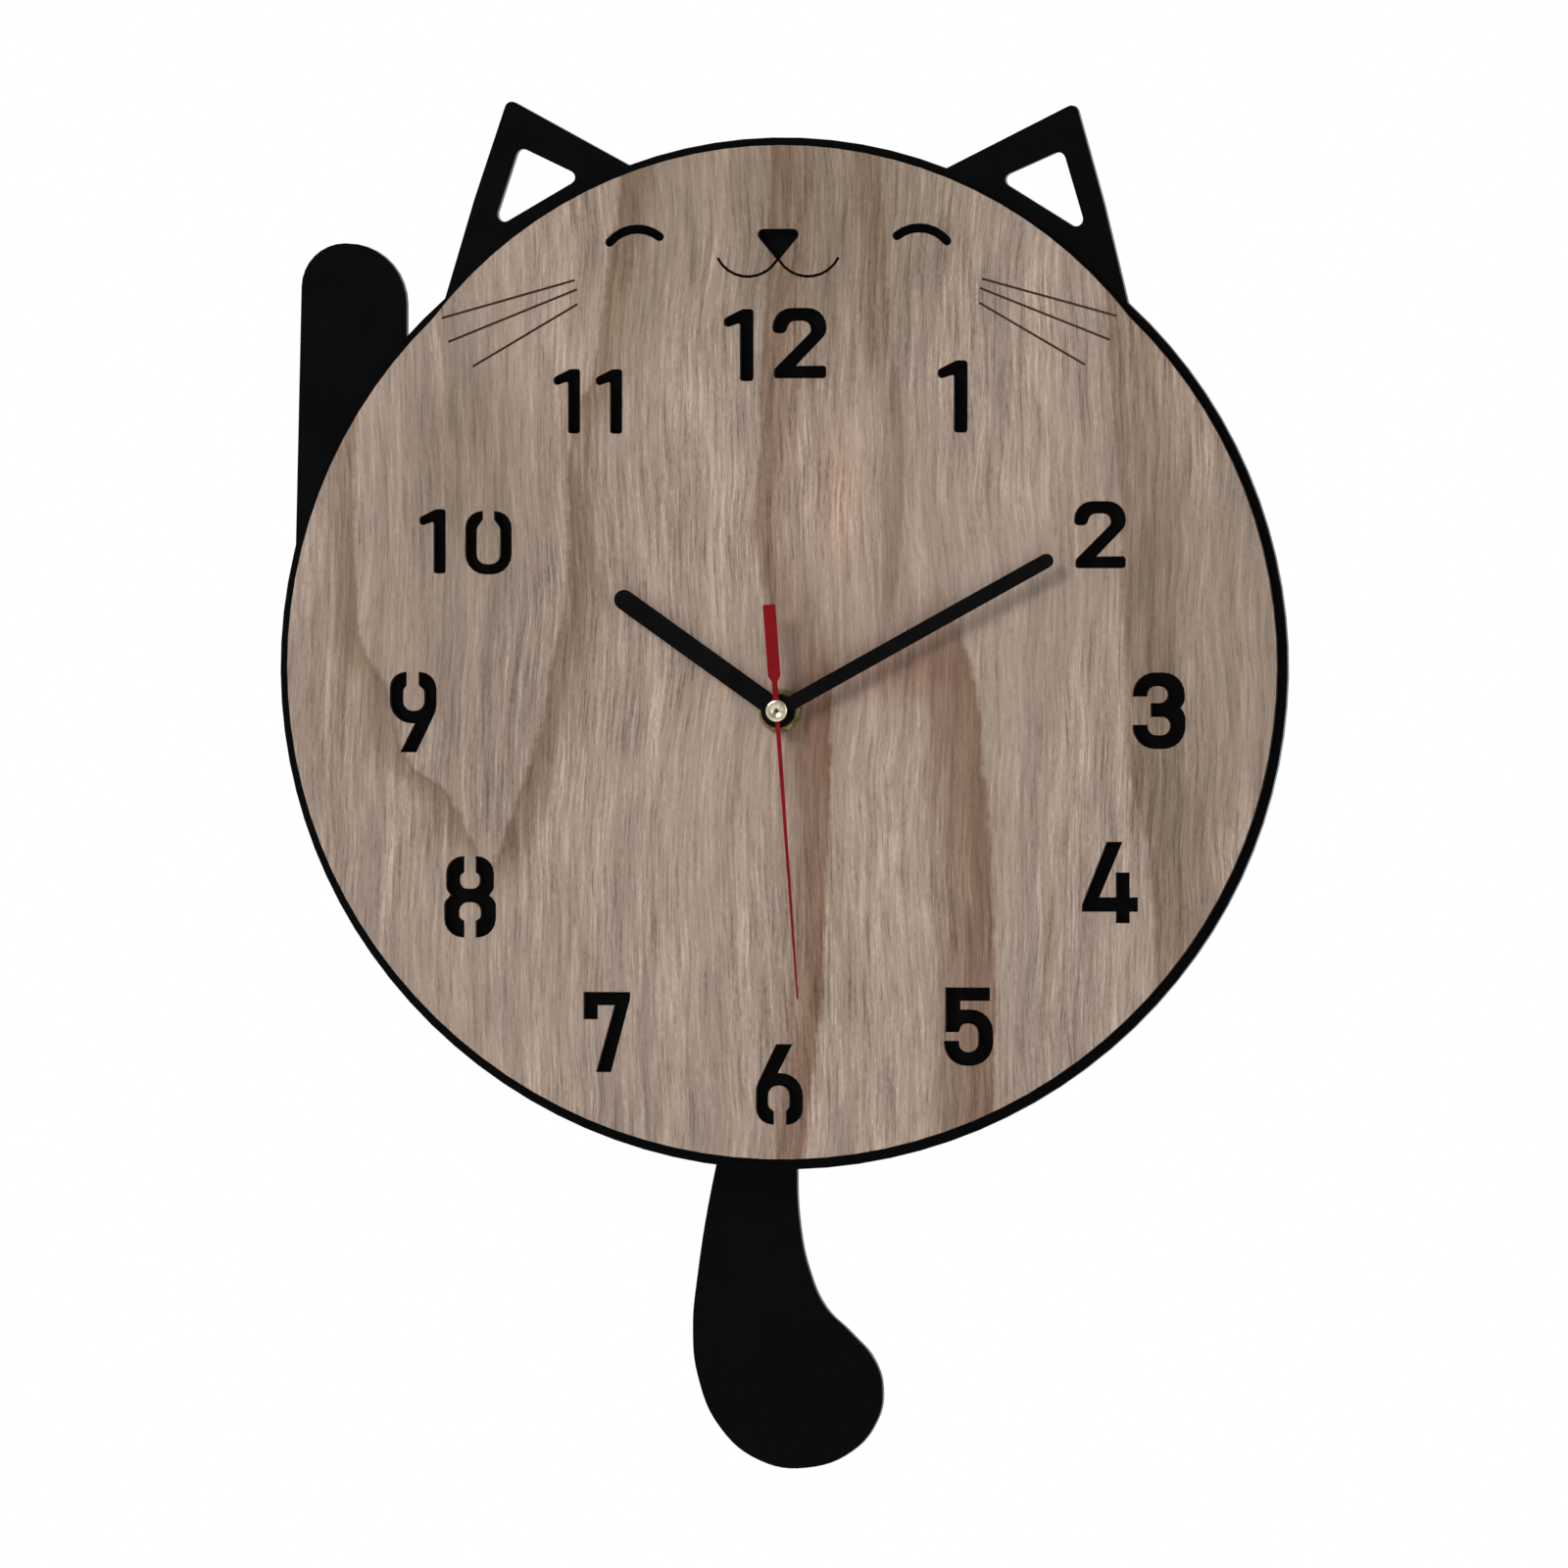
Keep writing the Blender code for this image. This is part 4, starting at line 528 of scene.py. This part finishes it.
def shade_group():
    """Geometry nodes that shade a mesh smooth, apart from its sharp edges."""
    group = bpy.data.node_groups.new("shade_by_angle", "GeometryNodeTree")
    for way in ("INPUT", "OUTPUT"):
        group.interface.new_socket("Geometry", in_out=way, socket_type="NodeSocketGeometry")
    entry = group.nodes.new("NodeGroupInput")
    out = group.nodes.new("NodeGroupOutput")
    faces = group.nodes.new("GeometryNodeSetShadeSmooth")
    all_edges = group.nodes.new("GeometryNodeSetShadeSmooth")
    all_edges.domain = "EDGE"
    sharp = group.nodes.new("GeometryNodeSetShadeSmooth")
    sharp.domain = "EDGE"
    sharp.inputs["Shade Smooth"].default_value = False
    angle = group.nodes.new("GeometryNodeInputMeshEdgeAngle")
    over = group.nodes.new("FunctionNodeCompare")
    over.operation = "GREATER_THAN"
    over.inputs[1].default_value = SHARP_ANGLE
    link = group.links.new
    link(entry.outputs[0], faces.inputs["Geometry"])
    link(faces.outputs[0], all_edges.inputs["Geometry"])
    link(all_edges.outputs[0], sharp.inputs["Geometry"])
    link(angle.outputs["Unsigned Angle"], over.inputs[0])
    link(over.outputs[0], sharp.inputs["Selection"])
    link(sharp.outputs[0], out.inputs[0])
    return group


def edge_finish(piece, group, width=0):
    """Welds a piece, rounds its sharp edges by a width, if any, and shades it cleanly."""
    weld = piece.modifiers.new("Weld", "WELD")
    weld.merge_threshold = WELD_DISTANCE * MM
    if width:
        flat = piece.modifiers.new("Flat faces", "DECIMATE")
        flat.decimate_type = "DISSOLVE"
        flat.angle_limit = FLAT_ANGLE
        bevel = piece.modifiers.new("Round edges", "BEVEL")
        bevel.width = width * MM
        bevel.segments = ROUNDING_STEPS
        bevel.limit_method = "ANGLE"
        bevel.angle_limit = SHARP_ANGLE
        bevel.use_clamp_overlap = True
        bevel.miter_outer = "MITER_ARC"
    shade = piece.modifiers.new("Shade", "NODES")
    shade.node_group = group
    weigh = piece.modifiers.new("Weighted normals", "WEIGHTED_NORMAL")
    weigh.keep_sharp = True


# -------------------------------------------------------------- finer pieces

ROUND_SIDES = 96
CAP_BORE = 0.62
CAP_SLEEVE = 1.1
CAP_DEPTH = 0.72
BUSH_RADIUS = 4.0
BUSH_BORE = 2.85
THREAD_PITCH = 0.75
THREAD_DEPTH = 0.3
RINGS_PER_TURN = 6
NUT_BORE = 4.15
NUT_CHAMFER = 0.3
NUT_SIDES = 144
WIRE = 0.2
MOTOR_WINDING_DEPTH = 1.6
DRIVE_WINDING_DEPTH = 4.2
# Round of one turn of wire: share of a turn along the coil, and rise in wire widths
WIRE_ROUND = ((0.0, -0.5), (0.15, -0.15), (0.35, 0.0), (0.65, 0.0), (0.85, -0.15))


def loft(name, rings, caps=False):
    """Closed mesh through rings of points; without caps the last ring meets the first."""
    work = bmesh.new()
    rows = [[work.verts.new(Vector(point) * MM) for point in ring] for ring in rings]
    pairs = list(zip(rows, rows[1:]))
    if caps:
        work.faces.new(rows[0])
        work.faces.new(rows[-1])
    else:
        pairs.append((rows[-1], rows[0]))
    for low, high in pairs:
        for i in range(len(low)):
            k = (i + 1) % len(low)
            work.faces.new((low[i], low[k], high[k], high[i]))
    bmesh.ops.recalc_face_normals(work, faces=work.faces)
    mesh = bpy.data.meshes.new(name)
    work.to_mesh(mesh)
    work.free()
    piece = bpy.data.objects.new(name, mesh)
    bpy.context.scene.collection.objects.link(piece)
    return piece


def ring_about_y(radius, y, at=(0.0, 0.0), sides=ROUND_SIDES):
    """Round ring at a depth; the radius may depend on the angle."""
    points = []
    for i in range(sides):
        angle = 2 * pi * i / sides
        r = radius(angle) if callable(radius) else radius
        points.append((at[0] + r * cos(angle), y, at[1] + r * sin(angle)))
    return points


def ring_about_x(radius, x, y, z):
    """Round ring across the case."""
    points = []
    for i in range(ROUND_SIDES):
        angle = 2 * pi * i / ROUND_SIDES
        points.append((x, y + radius * cos(angle), z + radius * sin(angle)))
    return points


def box_of(node):
    """Lowest and highest corner of a CAD node, in millimetres."""
    low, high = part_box(node)
    return low / MM, high / MM


def middle_of(node):
    low, high = box_of(node)
    return (low + high) / 2


def hub_cap():
    """Turned brass cap with a domed rim and a small centre hole."""
    low, high = box_of("second_hand_hub")
    rim = (high.x - low.x) / 2
    front = low.y
    back = high.y
    profile = [(CAP_SLEEVE, back), (CAP_SLEEVE, front + CAP_DEPTH),
               (rim - 0.1, front + CAP_DEPTH), (rim, front + 0.6), (rim - 0.03, front + 0.4),
               (rim - 0.14, front + 0.2), (rim - 0.34, front + 0.06), (rim - 0.62, front),
               (1.7, front + 0.02), (1.5, front + 0.1), (1.2, front + 0.42),
               (0.9, front + 0.5), (CAP_BORE, front + 0.52), (CAP_BORE, back)]
    return loft("second_hand_hub_turned", [ring_about_y(r, y) for r, y in profile])


def bush_with_thread():
    """Bush with its flange and a rolled fine thread."""
    low, high = box_of("threaded_bush")
    flange = (high.x - low.x) / 2
    back = high.y
    front = low.y
    start = back - 0.55
    rings = [ring_about_y(BUSH_BORE, back), ring_about_y(flange - 0.1, back),
             ring_about_y(flange, back - 0.1), ring_about_y(flange, back - 0.36),
             ring_about_y(flange - 0.08, back - 0.45), ring_about_y(BUSH_RADIUS, back - 0.45)]
    count = int((start - front) / THREAD_PITCH * RINGS_PER_TURN)
    for i in range(count):
        y = start - i * THREAD_PITCH / RINGS_PER_TURN
        ease = min(1.0, i / RINGS_PER_TURN, (count - i) / RINGS_PER_TURN)

        def crest(angle, y=y, ease=ease):
            turn = (y / THREAD_PITCH + angle / (2 * pi)) % 1.0
            return BUSH_RADIUS - THREAD_DEPTH * ease * abs(2 * turn - 1)

        rings.append(ring_about_y(crest, y))
    rings += [ring_about_y(BUSH_RADIUS - 0.35, front), ring_about_y(BUSH_BORE + 0.1, front),
              ring_about_y(BUSH_BORE, front + 0.1)]
    return loft("threaded_bush_cut", rings)


def chamfered_nut():
    """Thin hexagon nut with turned chamfers on both faces."""
    low, high = box_of("mounting_nut")
    back = high.y
    front = low.y
    flats = (high.z - low.z) / 2
    corner = flats / cos(pi / 6)

    def hexagon(limit):
        def radius(angle):
            return min(flats / cos(angle % (pi / 3) - pi / 6), limit)
        return radius

    profile = [(NUT_BORE + NUT_CHAMFER, back), (hexagon(flats * 0.99), back),
               (hexagon(corner - 0.2), back - 0.22), (hexagon(corner), back - NUT_CHAMFER),
               (hexagon(corner), front + NUT_CHAMFER), (hexagon(corner - 0.2), front + 0.22),
               (hexagon(flats * 0.99), front), (NUT_BORE + NUT_CHAMFER, front),
               (NUT_BORE, front + NUT_CHAMFER), (NUT_BORE, back - NUT_CHAMFER)]
    rings = [ring_about_y(radius, y, sides=NUT_SIDES) for radius, y in profile]
    return loft("mounting_nut_chamfered", rings)


def wound_coil(name, ring, start, end, outer, depth):
    """Winding between two places on its axis, whose outer layer shows each turn of wire."""
    turns = int((end - start) / WIRE)
    pitch = (end - start) / turns
    rings = [ring(outer - depth, start)]
    for i in range(turns):
        for share, rise in WIRE_ROUND:
            rings.append(ring(outer + rise * WIRE * 0.8, start + (i + share) * pitch))
    rings += [ring(outer - WIRE * 0.4, end), ring(outer - depth, end)]
    return loft(name, rings)


def motor_winding():
    """Winding of the stepping motor, along X."""
    low, high = box_of("coil_winding")
    centre = middle_of("coil_winding")

    def ring(radius, x):
        return ring_about_x(radius, x, centre.y, centre.z)

    return wound_coil("coil_winding_wound", ring, low.x, high.x, (high.z - low.z) / 2,
                      MOTOR_WINDING_DEPTH)


def drive_winding():
    """Winding of the pendulum drive, along Y."""
    low, high = box_of("drive_coil_winding")
    centre = middle_of("drive_coil_winding")

    def ring(radius, y):
        return ring_about_y(radius, y, (centre.x, centre.z))

    return wound_coil("drive_coil_winding_wound", ring, low.y, high.y, (high.z - low.z) / 2,
                      DRIVE_WINDING_DEPTH)


def fine_battery():
    """AA cell: rolled-over can, jacket edge, insulating ring and button."""
    low, high = box_of("battery")
    centre = middle_of("battery")
    radius = (high.z - low.z) / 2
    left = low.x
    right = high.x
    shoulder = right - BUTTON_HEIGHT
    profile = [(left + 0.25, 2.0), (left + 0.25, 4.6), (left, 5.0), (left, radius - 0.9),
               (left + 0.1, radius - 0.5), (left + 0.35, radius - 0.22),
               (left + 0.8, radius - 0.12), (left + 1.15, radius - 0.12),
               (left + 1.25, radius), (shoulder - 1.1, radius), (shoulder - 0.6, radius - 0.12),
               (shoulder - 0.2, radius - 0.5), (shoulder, radius - 1.1),
               (shoulder - 0.3, radius - 1.5), (shoulder - 0.3, 3.5), (shoulder, 3.2),
               (shoulder, 2.75), (right - 0.35, 2.72), (right - 0.1, 2.6), (right, 2.3)]
    rings = [ring_about_x(r, x, centre.y, centre.z) for x, r in profile]
    return loft("battery_fine", rings, caps=True)


# --------------------------------------------------------------------- scene

# Each area light: its place and size in metres, and its watts
LIGHTS = (
    ("key", (-1.5, -1.7, 1.5), 0.9, 46),
    ("fill", (2.2, -1.1, 0.6), 1.6, 16),
    ("back", (1.4, 2.2, 1.2), 1.4, 34),
)
LIGHT_AIM = (0.0, 0.0, -0.02)
# Brightness of the surroundings along Y, from behind the camera to the sides
DARK_CARD = {"From Min": -0.85, "From Max": -0.1, "To Min": 0.03, "To Max": 0.62}
# Floor and camera, in metres and degrees
FLOOR_REACH = 60.0
FLOOR_HEIGHT = -1.1
FLOOR_FADE = (2.5, 9.0)
CAMERA_AZIMUTH = 10.5
CAMERA_ELEVATION = 0.5
CAMERA_DISTANCE = 5.0
CAMERA_AIM = (0.0011, -0.0243, -0.0213)
SEEN_WIDTH = 0.4562


def add_light(name, place, size, watts):
    """Square area light aimed at the clock."""
    data = bpy.data.lights.new(name, "AREA")
    data.size = size
    data.energy = watts
    light = bpy.data.objects.new(name, data)
    light.location = place
    light.rotation_euler = (Vector(LIGHT_AIM) - Vector(place)).to_track_quat("-Z", "Y").to_euler()
    bpy.context.scene.collection.objects.link(light)


def studio_world():
    """White for the camera, soft light on the clock and a dark card behind the camera."""
    world = bpy.data.worlds.new("studio")
    bpy.context.scene.world = world
    world.use_nodes = True
    tree = world.node_tree
    background = tree.nodes["Background"]
    background.inputs["Color"].default_value = rgb(1.0, 1.0, 1.0)
    where = tree.nodes.new("ShaderNodeTexCoord")
    split = tree.nodes.new("ShaderNodeSeparateXYZ")
    tree.links.new(where.outputs["Generated"], split.inputs[0])
    ramp = tree.nodes.new("ShaderNodeMapRange")
    ramp.interpolation_type = "SMOOTHSTEP"
    for socket, value in DARK_CARD.items():
        ramp.inputs[socket].default_value = value
    tree.links.new(split.outputs["Y"], ramp.inputs["Value"])
    path = tree.nodes.new("ShaderNodeLightPath")
    pick = tree.nodes.new("ShaderNodeMix")
    tree.links.new(path.outputs["Is Camera Ray"], pick.inputs[0])
    tree.links.new(ramp.outputs["Result"], pick.inputs[2])
    pick.inputs[3].default_value = 1.0
    tree.links.new(pick.outputs[0], background.inputs["Strength"])


def pale_floor():
    """Pale floor far below the clock, which fades into the white around it."""
    mesh = bpy.data.meshes.new("floor")
    corners = ((-1, -1), (1, -1), (1, 1), (-1, 1))
    points = [(x * FLOOR_REACH, y * FLOOR_REACH, FLOOR_HEIGHT) for x, y in corners]
    mesh.from_pydata(points, [], [(0, 1, 2, 3)])
    floor = bpy.data.objects.new("floor", mesh)
    bpy.context.scene.collection.objects.link(floor)
    graph = Graph("pale_floor")
    where = graph.node("TexCoord").outputs["Object"]
    length = graph.node("VectorMath", {0: where}, operation="LENGTH").outputs["Value"]
    glow = graph.node("Emission", {"Color": rgb(1.0, 1.0, 1.0), "Strength": 1.0})
    pick = graph.node("MixShader", {0: graph.step(length, *FLOOR_FADE),
                                    1: graph.shader.outputs[0], 2: glow.outputs[0]})
    graph.surface(rgb(0.82, 0.82, 0.81), 0.7, specular=0.2)
    graph.tree.links.new(pick.outputs[0], graph.tree.nodes["Material Output"].inputs[0])
    mesh.materials.append(graph.material)


def front_camera():
    """Long lens from a little to the right of the axis."""
    azimuth = radians(CAMERA_AZIMUTH)
    elevation = radians(CAMERA_ELEVATION)
    back = Vector((sin(azimuth) * cos(elevation), -cos(azimuth) * cos(elevation), sin(elevation)))
    data = bpy.data.cameras.new("camera")
    data.lens = data.sensor_width * CAMERA_DISTANCE / SEEN_WIDTH
    data.clip_end = 60.0
    camera = bpy.data.objects.new("camera", data)
    camera.location = Vector(CAMERA_AIM) + back * CAMERA_DISTANCE
    camera.rotation_euler = (-back).to_track_quat("-Z", "Y").to_euler()
    bpy.context.scene.collection.objects.link(camera)
    bpy.context.scene.camera = camera


def studio():
    studio_world()
    pale_floor()
    front_camera()
    for light in LIGHTS:
        add_light(*light)
    bpy.context.scene.view_settings.view_transform = "Standard"


# --------------------------------------------------------------------- clock

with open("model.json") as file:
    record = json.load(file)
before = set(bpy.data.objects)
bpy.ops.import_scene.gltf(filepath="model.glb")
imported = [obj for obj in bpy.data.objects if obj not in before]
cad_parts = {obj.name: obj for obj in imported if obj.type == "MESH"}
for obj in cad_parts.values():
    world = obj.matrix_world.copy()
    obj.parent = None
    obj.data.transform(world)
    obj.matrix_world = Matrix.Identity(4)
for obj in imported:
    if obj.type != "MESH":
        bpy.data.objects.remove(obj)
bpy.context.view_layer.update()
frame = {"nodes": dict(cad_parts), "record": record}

# Each finish, with the width of its rounded edges and the CAD nodes that take it.
# A width of 0 keeps the edges sharp; most such materials soften them in the shading.
FINISHES = (
    (wood_veneer, 0, ("face_disc",)),
    (black_acrylic, 0, ("back_plate",)),
    (black_acrylic, 0.22, ("tail",)),
    (black_lacquer, 0.08, ("hour_hand", "minute_hand")),
    (red_lacquer, 0.06, ("second_hand",)),
    # The washer under the hands takes brass darkened as painted shade.
    (brass_in_painted_shade, 0.05, ("dial_washer",)),
    (brass, 0, ("cannon_pinion",)),
    (steel, 0.05, ("battery_contact_positive", "battery_contact_negative", "quartz_crystal",
                   "coil_core", "stator", "lever_pivot_pin")),
    (steel, 0, ("hanger",)),
    (case_plastic, 0, ("front_case", "back_cover")),
    (case_plastic, 0.1, ("setting_knob", "ic_blob")),
    (gear_plastic, 0, ("middle_plate", "rotor_pinion", "intermediate_wheel", "third_wheel",
                       "centre_wheel", "minute_wheel", "hour_wheel", "tail_lever")),
    (pinned_acetal, 0, ("second_wheel",)),
    (gear_plastic, 0.15, ("coil_bobbin", "drive_coil_bobbin")),
    (rubber, 0.15, ("rubber_gasket",)),
    (board_laminate, 0.05, ("circuit_board",)),
    (sintered_magnet, 0, ("rotor_magnet",)),
    (sintered_magnet, 0.15, ("lever_magnet",)),
)


def body_of(node):
    """Name of the body that a CAD node belongs to."""
    for body, nodes in frame["record"]["behaviour"]["bodies"].items():
        if node in nodes:
            return body


def stand_in(piece, node, material, group):
    """Lets a finer piece take a CAD node's place, with its own finish."""
    piece.data.materials.append(material)
    edge_finish(piece, group)
    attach(piece, body_of(node))
    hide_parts(node)


def finish_cad_nodes(group):
    """Gives the CAD nodes their finishes, and returns the materials made."""
    made = {}
    for finish, width, nodes in FINISHES:
        if finish not in made:
            made[finish] = finish()
        for name in nodes:
            node = frame["nodes"][name]
            for slot in node.material_slots:
                slot.material = made[finish]
            edge_finish(node, group, width)
    return made


def add_fine_pieces(group, made):
    """Adds the finer pieces in place of their CAD nodes."""
    stand_in(hub_cap(), "second_hand_hub", made[brass], group)
    stand_in(bush_with_thread(), "threaded_bush", made[brass], group)
    # The nut under the hands takes brass darkened as painted shade.
    stand_in(chamfered_nut(), "mounting_nut", made[brass_in_painted_shade], group)
    wire = copper()
    stand_in(motor_winding(), "coil_winding", wire, group)
    stand_in(drive_winding(), "drive_coil_winding", wire, group)
    low, high = box_of("battery")
    jacket = battery_jacket(low.x, high.x - BUTTON_HEIGHT)
    stand_in(fine_battery(), "battery", jacket, group)


group = shade_group()
add_fine_pieces(group, finish_cad_nodes(group))
studio()
